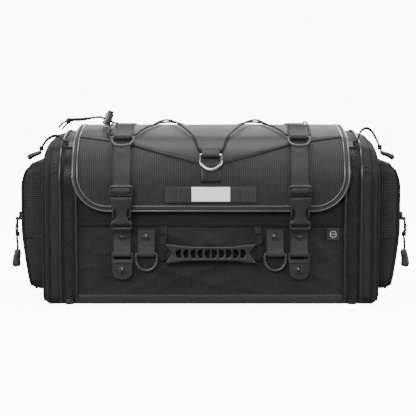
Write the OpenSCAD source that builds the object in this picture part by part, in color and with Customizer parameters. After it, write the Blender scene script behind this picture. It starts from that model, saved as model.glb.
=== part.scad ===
/* [Body] */
// width of the main compartment between its two inner pipings
body_w = 380; // [350:5:410]
// depth of the body, front panel to back panel
body_d = 290; // [280:2:300]
// height of the body under its lid
body_h = 243; // [238:1:248]
// thickness of the padded walls
wall = 4; // [3:0.5:5]
// height of the coated base band, also the radius of the base edge
base_h = 14; // [12:1:16]
// radius of the front and back shoulder of the body
shoulder_r = 55; // [50:1:58]
// radius of the domed crown between the shoulders
crown_r = 400; // [380:5:420]
// height of the seam across the front panel
seam_z = 113; // [110:1:116]

/* [Lid] */
// width of the flap
lid_w = 390; // [386:1:394]
// thickness of the padded flap
lid_t = 6; // [5:0.5:7]
// clearance between the body and the flap
lid_gap = 3.5; // [3.2:0.1:4]
// height of the flap's front edge
flap_z = 135; // [133:1:137]
// radius of the flap's two front corners
flap_r = 50; // [40:2:60]

/* [Ends] */
// width of the folded gusset between the two pipings of one end
gusset_w = 23; // [20:1:26]
// thickness of an end box, outer piping to outer face
end_t = 27; // [24:1:30]
// depth of a side pocket, front to back
pocket_d = 210; // [190:5:220]
// height of the bottom of a side pocket
pocket_z0 = 17; // [14:1:20]
// height of the top of a side pocket
pocket_z1 = 204; // [196:1:208]
// thickness of a side pocket with its door
pocket_t = 33; // [30:1:36]
// thickness of a pocket door
door_t = 6; // [5:0.5:7]

/* [Webbing and buckles] */
// width of the webbing
web_w = 25; // [24:0.5:25.5]
// distance of the two straps from the middle
strap_x = 125; // [122:1:128]
// distance of the two ring tabs from the middle
ring_x = 91; // [90:1:92]
// width of a side-release buckle
buckle_w = 34; // [33:0.5:35]
// thickness of a side-release buckle
buckle_t = 12; // [12:0.5:13]

/* [Handle] */
// length of the moulded grip
grip_l = 128; // [124:1:130]
// height of the grip at its ends
grip_h = 27; // [25:0.5:28]
// number of holes in the grip, an even number
grip_holes = 10; // [6:2:10]

/* [Hidden] */

eps = 0.01;
hb = body_w / 2;
hd = body_d / 2;
// centres of the two shoulder arcs and of the crown arc, which meet tangentially
shoulder_y = hd - shoulder_r;
crown_z = body_h - crown_r;
shoulder_z = crown_z + sqrt(pow(crown_r - shoulder_r, 2) - pow(shoulder_y, 2));
tangent_a = acos(shoulder_y / (crown_r - shoulder_r));
arc_steps = 14;
crown_steps = 10;

// the flap: its inner and outer offset from the body, and its rear edge
lid_in = lid_gap;
lid_out = lid_gap + lid_t;
lid_rear_z = 175;
yoke_t = 1;
web_t = 2;
strap_out = lid_out + yoke_t + web_t;
wire_r = 2;
bore_r = wire_r + 0.06;
loop_r = 4.4;
ring_r = 15;
ring_leg = 8;
piping_w = 5;
piping_t = 2.4;
tape_w = 11;
cord_r = 1.5;
tunnel_r = 1.9;
// sewn pieces sit this far off the cloth under them
seat = 0.12;

// stations of the end boxes and pockets along X, for the right side
end_x0 = hb + gusset_w;
end_x1 = end_x0 + end_t;
pocket_x1 = end_x1 + pocket_t;
shell_x1 = pocket_x1 - door_t - 1;
pocket_wall = 2.5;
pocket_r = 16;
rim_w = 7;

// buckle: lower end of the socket, its back plane and how far its top leans forward
buckle_z = 111;
buckle_y = -hd - 9.2;
buckle_lean = 5.4;
socket_h = 47;
mouth_w = 26.8;
mouth_y0 = 3;
mouth_y1 = 9.8;

// front hardware
tab_y = -hd - 3;
bar_y = -hd - loop_r - 0.2;
bar_z = 74;
handle_z = 100;
handle_web = 8.8;
handle_y = -hd - 3.5;
grip_z = 75.5;
grip_y0 = -hd - 14;
grip_y1 = -hd - 6;

// zip pulls
slider_z = 124;
lug_x = pocket_x1 + 6.5;
lug_y = -pocket_d / 2 + 3.5;
lug_z = slider_z - 4;
slider_a = 62;
lug_dx = 4;
lug_dz = 4.6;

function at(c, r, a) = [c[0] - r * cos(a), c[1] + r * sin(a)];
function arc(c, r, a0, a1, n) = [for (i = [0:n]) at(c, r, a0 + (a1 - a0) * i / n)];
function rev(v) = [for (i = [len(v) - 1:-1:0]) v[i]];

// the arched part of the body's outline, offset outwards by off
function arch(off) = concat(
    arc([-shoulder_y, shoulder_z], shoulder_r + off, 0, tangent_a, arc_steps),
    arc([0, crown_z], crown_r + off, tangent_a + 3, 177 - tangent_a, crown_steps),
    arc([shoulder_y, shoulder_z], shoulder_r + off, 180 - tangent_a, 180, arc_steps)
);
function outline(off) = concat(
    arc([-hd + base_h, base_h], base_h + off, -90, 0, 6),
    arch(off),
    arc([hd - base_h, base_h], base_h + off, 180, 270, 6)
);
function arch_strip(o0, o1, zf, zr) = concat(
    [[-hd - o1, zf]], arch(o1), [[hd + o1, zr]], [[hd + o0, zr]], rev(arch(o0)), [[-hd - o0, zf]]
);

// a point on the flap: x across, a the direction of the surface (0 front, 90 up, 180 back), off above it
function skin(a, off) =
    a < tangent_a ? at([-shoulder_y, shoulder_z], shoulder_r + lid_out + off, a)
    : a > 180 - tangent_a ? at([shoulder_y, shoulder_z], shoulder_r + lid_out + off, a)
    : at([0, crown_z], crown_r + lid_out + off, a);
function on_lid(x, a, off) = let (p = skin(a, off)) [x, p[0], p[1]];

module along_x(x0, x1) {
    translate([x0, 0, 0])
        rotate([90, 0, 90])
            linear_extrude(x1 - x0)
                children();
}

module band(x0, x1, o0, o1, z0) {
    along_x(x0, x1)
        intersection() {
            difference() {
                polygon(outline(o1));
                polygon(outline(o0));
            }
            translate([-hd - 20, z0])
                square([body_d + 40, body_h + 40]);
        }
}

module sides() {
    for (s = [-1, 1])
        scale([s, 1, 1])
            children();
}

module base_panel() {
    color([0.2, 0.2, 0.21])
        along_x(-hb, hb)
            difference() {
                intersection() {
                    polygon(outline(0));
                    translate([-hd, 0])
                        square([body_d, base_h]);
                }
                polygon(outline(-wall));
            }
}

module base_board() {
    color([0.1, 0.1, 0.1])
        translate([-hb + 5, -hd + base_h, wall])
            cube([body_w - 10, body_d - 2 * base_h, 2.5]);
}

module front_panel() {
    color([0.15, 0.15, 0.16])
        translate([-hb, -hd, base_h])
            cube([body_w, wall, seam_z - base_h]);
}

module front_band() {
    color([0.22, 0.22, 0.23])
        translate([-hb, -hd, seam_z])
            cube([body_w, wall, shoulder_z - seam_z]);
}

module back_panel() {
    color([0.15, 0.15, 0.16])
        translate([-hb, hd - wall, base_h])
            cube([body_w, wall, shoulder_z - base_h]);
}

module top_collar() {
    color([0.18, 0.18, 0.19])
        difference() {
            along_x(-hb, hb)
                polygon(arch_strip(-wall, 0, shoulder_z, shoulder_z));
            translate([-hb + 30, -shoulder_y, shoulder_z])
                cube([body_w - 60, 2 * shoulder_y, shoulder_r + 40]);
        }
}

module body_piping() {
    color([0.62, 0.62, 0.62])
        sides()
            band(hb - piping_w / 2, hb + piping_w / 2, 0, piping_t, 4);
}

module zip_tapes() {
    color([0.12, 0.12, 0.12])
        sides()
            band(hb, hb + tape_w, -2, 0, 0);
}

// a flat patch of webbing that ends in a loop round a bar
module looped_tab(x, z_top) {
    difference() {
        union() {
            translate([x - web_w / 2, -hd - 3, bar_z])
                cube([web_w, 3, z_top - bar_z]);
            translate([x - web_w / 2, bar_y, bar_z])
                rotate([0, 90, 0])
                    cylinder(h = web_w, r = loop_r, $fn = 48);
        }
        translate([x - web_w / 2 - 1, bar_y, bar_z])
            rotate([0, 90, 0])
                cylinder(h = web_w + 2, r = bore_r, $fn = 48);
    }
}

// webbing from a patch up to the bar of the buckle socket
module buckle_web(x) {
    along_x(x - web_w / 2, x + web_w / 2)
        polygon([
            [-hd - 3, buckle_z - 6],
            [-hd, buckle_z - 6],
            [-hd, buckle_z - 3],
            [buckle_y - 5, buckle_z + 6],
            [buckle_y - 7, buckle_z + 6],
            [buckle_y - 6.5, buckle_z + 3.8]
        ]);
}

module webbing_tabs() {
    color([0.2, 0.2, 0.2]) {
        for (s = [-1, 1]) {
            looped_tab(s * ring_x, 108);
            union() {
                looped_tab(s * strap_x, buckle_z - 6);
                buckle_web(s * strap_x);
            }
        }
    }
}

module handle_patches() {
    color([0.2, 0.2, 0.2])
        sides()
            translate([grip_l / 2, -hd - 3, handle_z + 2.5])
                cube([handle_web, 3, 10]);
}

module rivets() {
    color([0.8, 0.8, 0.82])
        for (p = [[strap_x, 98], [ring_x, 98]], s = [-1, 1])
            translate([s * p[0], tab_y, p[1]])
                rotate([90, 0, 0])
                    cylinder(h = 2.2, r1 = 4.6, r2 = 3, $fn = 40);
}

module woven_tag() {
    color([0.08, 0.08, 0.08])
        translate([164, -hd - 1, 93])
            cube([18, 1, 18]);
}

// everything on the buckle's own axis: x across, y out of the bag as -y, z along the buckle
module buckle_place(s) {
    translate([s * strap_x, buckle_y, buckle_z])
        rotate([buckle_lean, 0, 0])
            children();
}

module socket(s) {
    hw = buckle_w / 2;
    buckle_place(s)
        difference() {
            rotate([90, 0, 0])
                linear_extrude(buckle_t)
                    polygon([
                        [-hw + 3, 0], [hw - 3, 0], [hw - 0.5, 3], [hw, 10], [hw - 1.4, 17], [hw - 2, 23],
                        [hw - 1.4, 29], [hw, 36], [hw, socket_h], [-hw, socket_h], [-hw, 36],
                        [-hw + 1.4, 29], [-hw + 2, 23], [-hw + 1.4, 17], [-hw, 10], [-hw + 0.5, 3]
                    ]);
            translate([-mouth_w / 2, -mouth_y1, 12])
                cube([mouth_w, mouth_y1 - mouth_y0, socket_h]);
            translate([-buckle_w, -mouth_y1, 15])
                cube([2 * buckle_w, mouth_y1 - mouth_y0, 15]);
            translate([-web_w / 2 - 0.6, -buckle_t - 1, 3.2])
                cube([web_w + 1.2, buckle_t + 2, 5]);
        }
}

module left_buckle_socket() {
    color([0.12, 0.12, 0.12])
        socket(-1);
}

module right_buckle_socket() {
    color([0.12, 0.12, 0.12])
        socket(1);
}

module plug(s) {
    z0 = socket_h + 0.6;
    buckle_place(s)
        union() {
            difference() {
                translate([-16, -10.4, z0])
                    cube([32, 8, 15]);
                translate([-web_w / 2 - 0.6, -12, z0 + 3.2])
                    cube([web_w + 1.2, 12, 3]);
                translate([-web_w / 2 - 0.6, -12, z0 + 9])
                    cube([web_w + 1.2, 12, 3]);
            }
            for (t = [-1, 1])
                translate([t * 10.4 - 2.3, -8.8, 20])
                    cube([4.6, 4.6, z0 - 20 + eps]);
            translate([-2.5, -8.4, 26])
                cube([5, 4, z0 - 26 + eps]);
        }
}

module left_buckle_plug() {
    color([0.12, 0.12, 0.12])
        plug(-1);
}

module right_buckle_plug() {
    color([0.12, 0.12, 0.12])
        plug(1);
}

// what the two rounded front corners of the flap leave off
module flap_corners() {
    cx = lid_w / 2 - flap_r;
    cz = flap_z + flap_r;
    for (s = [-1, 1])
        scale([s, 1, 1])
            translate([0, -hd + 30, 0])
                rotate([90, 0, 0])
                    linear_extrude(60)
                        polygon(concat(
                            [[cx + 1.5, flap_z - 1]],
                            [for (a = [-88:4:-4]) [cx + flap_r * cos(a), cz + flap_r * sin(a)]],
                            [[lid_w / 2 + 1, cz], [lid_w / 2 + 1, flap_z - 1]]
                        ));
}

module lid_panel() {
    color([0.16, 0.16, 0.17])
        difference() {
            along_x(-lid_w / 2, lid_w / 2)
                polygon(arch_strip(lid_in, lid_out, flap_z, lid_rear_z));
            flap_corners();
        }
}

// coated skin over the top of the flap, cut lower towards the middle
module lid_yoke() {
    color([0.45, 0.45, 0.46])
        difference() {
            along_x(-lid_w / 2 + 6, lid_w / 2 - 6)
                polygon(arch_strip(lid_out, lid_out + yoke_t, shoulder_z, shoulder_z));
            for (s = [-1, 1])
                scale([s, 1, 1])
                    translate([0, 0, 150])
                        rotate([90, 0, 0])
                            linear_extrude(hd + 40)
                                polygon([
                                    [14, 0], [14, 52], [19, 53], [63, 64], [108, 76], [142, 82],
                                    [195, 88], [lid_w, 88], [lid_w, 0]
                                ]);
        }
}

// the bound edge round the front of the flap: two straight sides, two corners and the bottom
module lid_binding() {
    t = 1.4;
    w = 7;
    color([0.55, 0.55, 0.55])
        difference() {
            along_x(-lid_w / 2 + eps, lid_w / 2 - eps)
                polygon([
                    [-hd - lid_out - t, flap_z + 0.1],
                    [-hd - lid_out - t, shoulder_z + 10],
                    [-hd - lid_out, shoulder_z + 10],
                    [-hd - lid_out, flap_z + 0.1]
                ]);
            flap_corners();
            translate([-lid_w / 2 + w, -hd - 30, flap_z + flap_r])
                cube([lid_w - 2 * w, 60, flap_r + 40]);
            translate([-lid_w / 2 + flap_r, -hd - 30, flap_z + w])
                cube([lid_w - 2 * flap_r, 60, flap_r + 40]);
            for (s = [-1, 1])
                translate([s * (lid_w / 2 - flap_r), -hd - 31, flap_z + flap_r])
                    rotate([-90, 0, 0])
                        cylinder(h = 62, r = flap_r - w, $fn = 96);
            along_x(-lid_w, lid_w)
                polygon(arch_strip(-wall, lid_out, flap_z - 9, lid_rear_z));
        }
}

// strap over the flap, down to the adjuster on the buckle plug
module straps() {
    o0 = lid_out + yoke_t;
    color([0.2, 0.2, 0.2])
        for (s = [-1, 1])
            along_x(s * strap_x - web_w / 2, s * strap_x + web_w / 2)
                polygon(concat(
                    [[-hd - 16, 165], [-hd - 15, 167.5], [-hd - strap_out, 174.5]],
                    arch(strap_out),
                    [[hd + strap_out, lid_rear_z], [hd + o0, lid_rear_z]],
                    rev(arch(o0)),
                    [[-hd - o0, 173.5], [-hd - 13, 165]]
                ));
}

// the sewn-down fold at the front of each strap's crown
module strap_folds() {
    color([0.2, 0.2, 0.2])
        for (s = [-1, 1])
            along_x(s * strap_x - web_w / 2, s * strap_x + web_w / 2)
                polygon(concat(
                    [for (a = [74.5:1:79.5]) skin(a, yoke_t + web_t + 3.2)],
                    [for (a = [79.5:-1:74.5]) skin(a, yoke_t + web_t + 2 * seat)]
                ));
}

// a webbing loop on the flap round a ring's bar, with a second tunnel for the cord above it
module ring_loop(x, a, base, w) {
    bar = skin(a, base + loop_r + 0.1);
    cord = skin(a + 8, base + 2.2);
    difference() {
        along_x(x - w / 2, x + w / 2)
            union() {
                translate(bar)
                    circle(r = loop_r, $fn = 48);
                polygon([
                    skin(a + 12, base), skin(a + 8, base), skin(a + 4, base), skin(a, base),
                    skin(a - 1, base + 1), skin(a - 1, base + loop_r), skin(a + 1, base + 2 * loop_r - 0.6),
                    skin(a + 5, base + 6.6), skin(a + 9, base + 5.2), skin(a + 12, base + 2)
                ]);
            }
        translate([x - w, bar[0], bar[1]])
            rotate([0, 90, 0])
                cylinder(h = 2 * w, r = bore_r, $fn = 48);
        translate([x - w, cord[0], cord[1]])
            rotate([0, 90, 0])
                cylinder(h = 2 * w, r = tunnel_r, $fn = 32);
    }
}

strap_ring_a = 60;
centre_ring_a = 33;

module ring_loops() {
    color([0.2, 0.2, 0.2]) {
        for (s = [-1, 1])
            ring_loop(s * strap_x, strap_ring_a, yoke_t + web_t + seat, web_w);
        ring_loop(0, centre_ring_a, yoke_t + seat, web_w);
    }
}

// three webbing loops at the back of the flap that turn the cord
module rear_loops() {
    color([0.2, 0.2, 0.2])
        for (p = [[-strap_x, yoke_t + web_t + seat], [0, yoke_t + seat], [strap_x, yoke_t + web_t + seat]])
            difference() {
                along_x(p[0] - web_w / 2, p[0] + web_w / 2)
                    polygon([
                        skin(128, p[1]), skin(131, p[1]), skin(134, p[1]), skin(137, p[1]), skin(140, p[1]),
                        skin(140, p[1] + 2), skin(137, p[1] + 4.6), skin(134, p[1] + 5.6),
                        skin(131, p[1] + 4.6), skin(128, p[1] + 2)
                    ]);
                translate([p[0] - web_w, skin(134, p[1] + 2.4)[0], skin(134, p[1] + 2.4)[1]])
                    rotate([0, 90, 0])
                        cylinder(h = 2 * web_w, r = tunnel_r, $fn = 32);
            }
}

module daisy_strip() {
    color([0.2, 0.2, 0.2])
        translate([-64, -hd - lid_out - web_t, 147])
            cube([128, web_t, 23]);
}

module label() {
    color([0.95, 0.95, 0.95])
        translate([-27, -hd - lid_out - web_t - 0.8, 149])
            cube([54, 0.8, 20]);
}

// a ring with its bar along X at the origin and its bow towards -Z
module bend(angle, r) {
    rotate_extrude(angle = angle, $fn = 64)
        translate([r, 0])
            circle(r = wire_r, $fn = 32);
}

module d_ring() {
    elbow = ring_r - web_w / 2;
    translate([-web_w / 2, 0, 0])
        rotate([0, 90, 0])
            cylinder(h = web_w, r = wire_r, $fn = 32);
    for (s = [-1, 1]) {
        translate([s * web_w / 2, 0, -elbow])
            rotate([-90, 0, 0])
                rotate([0, 0, s > 0 ? -90 : 180])
                    bend(90, elbow);
        translate([s * ring_r, 0, -ring_leg])
            cylinder(h = ring_leg - elbow, r = wire_r, $fn = 32);
    }
    translate([0, 0, -ring_leg])
        rotate([-90, 0, 0])
            bend(180, ring_r);
}

module lid_ring(x, a, base, tilt) {
    p = skin(a, base + loop_r + 0.1);
    translate([x, p[0], p[1]])
        rotate([tilt, 0, 0])
            d_ring();
}

module left_top_ring() {
    color([0.15, 0.15, 0.15])
        lid_ring(-strap_x, strap_ring_a, yoke_t + web_t + seat, -strap_ring_a);
}

module right_top_ring() {
    color([0.15, 0.15, 0.15])
        lid_ring(strap_x, strap_ring_a, yoke_t + web_t + seat, -strap_ring_a);
}

module centre_ring() {
    color([0.8, 0.8, 0.82])
        lid_ring(0, centre_ring_a, yoke_t + seat, -30);
}

module lower_ring(x) {
    translate([x, bar_y, bar_z])
        d_ring();
}

module left_lower_ring() {
    color([0.3, 0.3, 0.3])
        lower_ring(-ring_x);
}

module right_lower_ring() {
    color([0.3, 0.3, 0.3])
        lower_ring(ring_x);
}

// moulded tab that hangs on its own bar
module belt_tab(x) {
    translate([x, bar_y, bar_z]) {
        translate([-15.5, 0, 0])
            rotate([0, 90, 0])
                cylinder(h = 31, r = wire_r, $fn = 32);
        for (s = [-1, 1])
            translate([s * 14.25 - 1.25, -wire_r, -10])
                cube([2.5, 2 * wire_r, 12]);
        translate([0, wire_r, -35])
            rotate([90, 0, 0])
                linear_extrude(2 * wire_r)
                    polygon([
                        [-10, 0], [10, 0], [14, 4], [15.5, 10], [15.5, 27], [-15.5, 27], [-15.5, 10], [-14, 4]
                    ]);
        translate([-15.5, -wire_r - 1, -13])
            cube([31, 1 + eps, 3]);
        translate([0, -wire_r + eps, -23])
            rotate([90, 0, 0])
                cylinder(h = 1.8, r = 5, $fn = 40);
    }
}

module left_belt_tab() {
    color([0.12, 0.12, 0.12])
        belt_tab(-strap_x);
}

module right_belt_tab() {
    color([0.12, 0.12, 0.12])
        belt_tab(strap_x);
}

// grip plate with notched ends and a row of D-shaped holes that face the middle
module handle_grip() {
    hl = grip_l / 2;
    hh = grip_h / 2;
    pitch = 10.1;
    color([0.13, 0.13, 0.13])
        difference() {
            translate([0, grip_y1, grip_z])
                rotate([90, 0, 0])
                    linear_extrude(grip_y1 - grip_y0)
                        polygon([
                            [-hl, hh], [-hl + 14, hh - 1], [-hl + 30, hh - 3], [0, hh - 3.6],
                            [hl - 30, hh - 3], [hl - 14, hh - 1], [hl, hh], [hl - 10, 1], [hl, -hh],
                            [hl - 14, -hh + 1], [hl - 30, -hh + 3], [0, -hh + 3.6],
                            [-hl + 30, -hh + 3], [-hl + 14, -hh + 1], [-hl, -hh], [-hl + 10, 1]
                        ]);
            for (s = [-1, 1], i = [0:grip_holes / 2 - 1])
                translate([s * (i + 0.5) * pitch, grip_y1 + 1, grip_z])
                    rotate([90, 0, 0])
                        linear_extrude(grip_y1 - grip_y0 + 2)
                            intersection() {
                                circle(r = 6, $fn = 40);
                                translate([s > 0 ? -3 : -3.6, -6])
                                    square([6.6, 12]);
                            }
        }
}

module handle_webbing() {
    color([0.2, 0.2, 0.2])
        sides() {
            translate([grip_l / 2, handle_y, handle_z])
                rotate([0, 90, 0])
                    cylinder(h = handle_web, r = 1.8, $fn = 32);
            along_x(grip_l / 2, grip_l / 2 + handle_web)
                polygon([
                    [handle_y - 1.8, handle_z], [handle_y + 1.8, handle_z], [handle_y + 1.8, handle_z - 6],
                    [grip_y1 - 2.4, grip_z + 3], [grip_y1 - 2.4, grip_z - 3], [grip_y1 - 6, grip_z - 3],
                    [grip_y1 - 6, grip_z + 3]
                ]);
            translate([grip_l / 2 - 13, grip_y1 - 6, grip_z - 3])
                cube([13 + eps, 3.6, 6]);
        }
}

// one end of the bag, drawn on the right side; s mirrors it
module end_shell() {
    difference() {
        hull() {
            along_x(end_x0, end_x1 - 14)
                polygon(outline(0));
            along_x(end_x1 - 6, end_x1 - 5)
                polygon(outline(-4));
            along_x(end_x1 - 1, end_x1)
                polygon(outline(-11));
        }
        along_x(end_x0 - 1, end_x1 - wall)
            polygon(outline(-13));
        along_x(end_x0 - 1, end_x1 - 14)
            polygon(outline(-wall));
    }
}

module end_tape() {
    band(end_x0 - tape_w, end_x0, -2, 0, 0);
}

module gusset() {
    band(hb + 2, end_x0 - 2, -12, -3, 0);
}

module rounded(y0, y1, z0, z1, r) {
    union() {
        translate([y0 + r, z0])
            square([y1 - y0 - 2 * r, z1 - z0]);
        translate([y0, z0 + r])
            square([y1 - y0, z1 - z0 - 2 * r]);
        for (y = [y0 + r, y1 - r], z = [z0 + r, z1 - r])
            translate([y, z])
                circle(r = r, $fn = 48);
    }
}

module pocket_shell() {
    hp = pocket_d / 2;
    difference() {
        union() {
            along_x(end_x1, shell_x1)
                rounded(-hp, hp, pocket_z0, pocket_z1, pocket_r);
            translate([shell_x1 - eps, -hp, pocket_z0 + pocket_r])
                cube([pocket_x1 - shell_x1 + eps, rim_w, pocket_z1 - pocket_z0 - 2 * pocket_r]);
        }
        along_x(end_x1 + 2, pocket_x1 + 1)
            rounded(-hp + rim_w, hp - pocket_wall, pocket_z0 + pocket_wall, pocket_z1 - pocket_wall, 13);
    }
}

module pocket_door() {
    hp = pocket_d / 2;
    difference() {
        along_x(shell_x1 + 0.6, pocket_x1)
            rounded(-hp + 2, hp, pocket_z0 + 2, pocket_z1, pocket_r);
        translate([shell_x1, -hp - 1, pocket_z0 - 1])
            cube([door_t + 3, rim_w + 1.6, pocket_z1 - pocket_z0 + 2]);
    }
}

module pocket_zip() {
    translate([pocket_x1, -pocket_d / 2 + 0.5, pocket_z0 + pocket_r + 2])
        cube([1.2, 6, pocket_z1 - pocket_z0 - 2 * pocket_r - 4]);
}

// a pin along Y between two cheeks, at the origin, with its base towards -X
module pull_lug() {
    for (t = [-1, 1])
        translate([-3, t * 3.1 - 0.8, -1.6])
            cube([4.4, 1.6, 3.2]);
    translate([0, 3.2, 0])
        rotate([90, 0, 0])
            cylinder(h = 6.4, r = 1, $fn = 24);
}

module pull_eye() {
    translate([0, 2, 0])
        rotate([90, 0, 0])
            difference() {
                cylinder(h = 4, r = 2.2, $fn = 32);
                translate([0, 0, -1])
                    cylinder(h = 6, r = 1.06, $fn = 32);
            }
}

module pocket_slider() {
    translate([pocket_x1 + 1.5, lug_y - 5, slider_z - 6])
        cube([2.4, 10, 12]);
    translate([lug_x, lug_y, lug_z])
        pull_lug();
}

// eye, cord, knot and moulded pull that hang from the slider
module pocket_pull() {
    translate([lug_x, lug_y, lug_z]) {
        pull_eye();
        translate([0, 0, -46])
            cylinder(h = 44.2, r = 1.3, $fn = 24);
        translate([0, 0, -22])
            sphere(r = 3, $fn = 24);
        translate([-4, -3, -71])
            along_x(0, 12)
                rounded(0, 6, 0, 27, 2.5);
    }
}

function slider_point(x, y, z) =
    let (p = at([-shoulder_y, shoulder_z], shoulder_r + 2.4, slider_a), t = 90 - slider_a)
        [hb + gusset_w / 2 + x, p[0] + y * cos(t) - z * sin(t), p[1] + y * sin(t) + z * cos(t)];

module zip_slider() {
    translate(slider_point(0, 0, 0))
        rotate([90 - slider_a, 0, 0]) {
            translate([-5, -7, -1.6])
                cube([10, 14, 3]);
            translate([lug_dx, 0, lug_dz])
                rotate([0, -60, 0])
                    pull_lug();
        }
}

// every end piece is drawn once and mirrored for the left
module end_piece(s) {
    scale([s, 1, 1])
        children();
}

// the pull's cord lies over the end box on the left and stands up as an arch on the right
function pull_path(s) = concat(
    [slider_point(lug_dx + 1.9, 0, lug_dz), slider_point(lug_dx + 3.5, 0, lug_dz + (s < 0 ? 1 : 4))],
    s < 0
    ? [[217, -114, 238.5], [226, -111, 238.5], [235, -107, 233], [242, -103, 224], [246, -101, 216]]
    : [[214, -113, 245], [221, -111, 250], [229, -109, 247], [236, -106, 237], [242, -103, 225],
       [246, -101, 215]]
);

module zip_pull(s) {
    translate(slider_point(lug_dx, 0, lug_dz))
        rotate([90 - slider_a, 0, 0])
            pull_eye();
    tube(pull_path(s), 1.3);
    translate([253, -100, 212])
        rotate([0, 22, 0])
            translate([-10, -6, -2.5])
                cube([21, 12, 5]);
}

// a round tube along a list of points, eight sides
function unit(v) = v / norm(v);
function dir(p, i) = unit(p[min(i + 1, len(p) - 1)] - p[max(i - 1, 0)]);
function side(d) = unit(cross(d, abs(d[2]) < 0.8 ? [0, 0, 1] : [0, 1, 0]));

module tube(p, r) {
    n = 8;
    rings = [for (i = [0:len(p) - 1]) let (d = dir(p, i), u = side(d), v = cross(d, u))
        for (k = [0:n - 1]) p[i] + r * (cos(360 * k / n) * u + sin(360 * k / n) * v)];
    last = len(p) - 1;
    polyhedron(rings, concat(
        [[for (k = [0:n - 1]) k]],
        [[for (k = [n - 1:-1:0]) last * n + k]],
        [for (i = [0:last - 1], k = [0:n - 1])
            [i * n + k, (i + 1) * n + k, (i + 1) * n + (k + 1) % n, i * n + (k + 1) % n]]
    ));
}

// the cord's route: along the flap's skin s runs back from the front edge of the crown
shoulder_run = shoulder_r + lid_out + 2;
crown_run = crown_r + lid_out + 2;
crown_l = crown_run * (90 - tangent_a) * PI / 90;
lie = yoke_t + cord_r + 1.7;
function a_at(s) =
    s < 0 ? tangent_a + s / shoulder_run * 180 / PI
    : s < crown_l ? tangent_a + s / crown_run * 180 / PI
    : 180 - tangent_a + (s - crown_l) / shoulder_run * 180 / PI;
function s_at(a) =
    a < tangent_a ? (a - tangent_a) * PI / 180 * shoulder_run
    : a < 180 - tangent_a ? (a - tangent_a) * PI / 180 * crown_run
    : crown_l + (a - 180 + tangent_a) * PI / 180 * shoulder_run;

// one strand between two tunnels, given as [x, angle]; lift raises it over the strand it crosses
function strand(p, q, n, lift, cross_x) = [
    for (i = [1:n - 1])
        let (t = i / n, x = p[0] + t * (q[0] - p[0]), s = s_at(p[1]) + t * (s_at(q[1]) - s_at(p[1])))
            on_lid(x, a_at(s), lie + lift * max(0, 1 - abs(x - cross_x) / 34))
];
out = web_w / 2 + 1.5;
front_off = yoke_t + web_t + 2.2;
mid_off = yoke_t + 2.2;
rear_off = yoke_t + web_t + 2.4;
rear_mid_off = yoke_t + 2.4;
front_a = strap_ring_a + 8;
mid_a = centre_ring_a + 8;
rear_a = 134;
lock_x = -155;
lock_a = 84;
lock_tilt = 21;
lock_lift = 2.8;
function lock_point(dx, dy) = let (p = on_lid(lock_x, lock_a, yoke_t + lock_lift))
    p + [7 * sin(lock_tilt) + dx * cos(lock_tilt), dy, 7 * cos(lock_tilt) - dx * sin(lock_tilt)];
cross_x = 67;

cord_path = concat(
    [[-225, -48, 250], [-217, -48, 257], [-207, -46.5, 262], [-190, -46, 263]],
    [lock_point(-12, -1.9), lock_point(0, -1.9), lock_point(9, -1.9)],
    [on_lid(-147, 80, 5.5), on_lid(-148, 75, lie + 1.5), on_lid(-146, 70.5, lie + 1.8)],
    [on_lid(-strap_x - out, front_a, front_off), on_lid(-strap_x + out, front_a, front_off)],
    strand([-strap_x + out, front_a], [-out, rear_a], 11, 0, -cross_x),
    [on_lid(-out, rear_a, rear_mid_off), on_lid(out, rear_a, rear_mid_off)],
    strand([out, rear_a], [strap_x - out, front_a], 11, 0, cross_x),
    [on_lid(strap_x - out, front_a, front_off), on_lid(strap_x + out, front_a, front_off)],
    strand([strap_x + out + 4, front_a + 5], [strap_x + out + 4, rear_a - 4], 10, 0, 0),
    [on_lid(strap_x + out, rear_a, rear_off), on_lid(strap_x - out, rear_a, rear_off)],
    strand([strap_x - out, rear_a], [out, mid_a], 12, 3.6, cross_x),
    [on_lid(out, mid_a, mid_off), on_lid(-out, mid_a, mid_off)],
    strand([-out, mid_a], [-strap_x + out, rear_a], 12, 3.6, -cross_x),
    [on_lid(-strap_x + out, rear_a, rear_off), on_lid(-strap_x - out, rear_a, rear_off)],
    strand([-strap_x - out - 2, rear_a - 6], [-144, 93], 6, 0, 0),
    [lock_point(12, 3), lock_point(5, 1.9), lock_point(-6, 1.9), lock_point(-14, 2.4)],
    [[-190, -40.5, 261], [-206, -41, 260], [-214, -43, 254], [-220, -43.5, 247.5]]
);

module elastic_cord() {
    color([0.06, 0.06, 0.06])
        tube(cord_path, cord_r);
}

module lock_place() {
    translate(on_lid(lock_x, lock_a, yoke_t + lock_lift))
        rotate([0, lock_tilt, 0])
            children();
}

module cord_lock() {
    color([0.35, 0.35, 0.36])
        lock_place()
            difference() {
                cylinder(h = 18, r = 6, $fn = 48);
                translate([0, 0, 10])
                    cylinder(h = 9, r = 4.5, $fn = 48);
                translate([-8, -4, 5])
                    cube([16, 8, 4]);
            }
}

module cord_lock_plunger() {
    color([0.06, 0.06, 0.06])
        lock_place()
            translate([0, 0, 14])
                cylinder(h = 8, r = 4.42, $fn = 48);
}

module left_end_shell() {
    color([0.15, 0.15, 0.16])
        end_piece(-1)
            end_shell();
}

module left_end_piping() {
    color([0.62, 0.62, 0.62])
        end_piece(-1)
            band(end_x0 - piping_w / 2, end_x0 + piping_w / 2, 0, piping_t, 4);
}

module left_zip_tape() {
    color([0.12, 0.12, 0.12])
        end_piece(-1)
            end_tape();
}

module left_gusset() {
    color([0.1, 0.1, 0.1])
        end_piece(-1)
            gusset();
}

module left_zip_slider() {
    color([0.35, 0.35, 0.35])
        end_piece(-1)
            zip_slider();
}

module left_zip_pull() {
    color([0.1, 0.1, 0.1])
        end_piece(-1)
            zip_pull(-1);
}

module left_pocket_shell() {
    color([0.17, 0.17, 0.18])
        end_piece(-1)
            pocket_shell();
}

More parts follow.
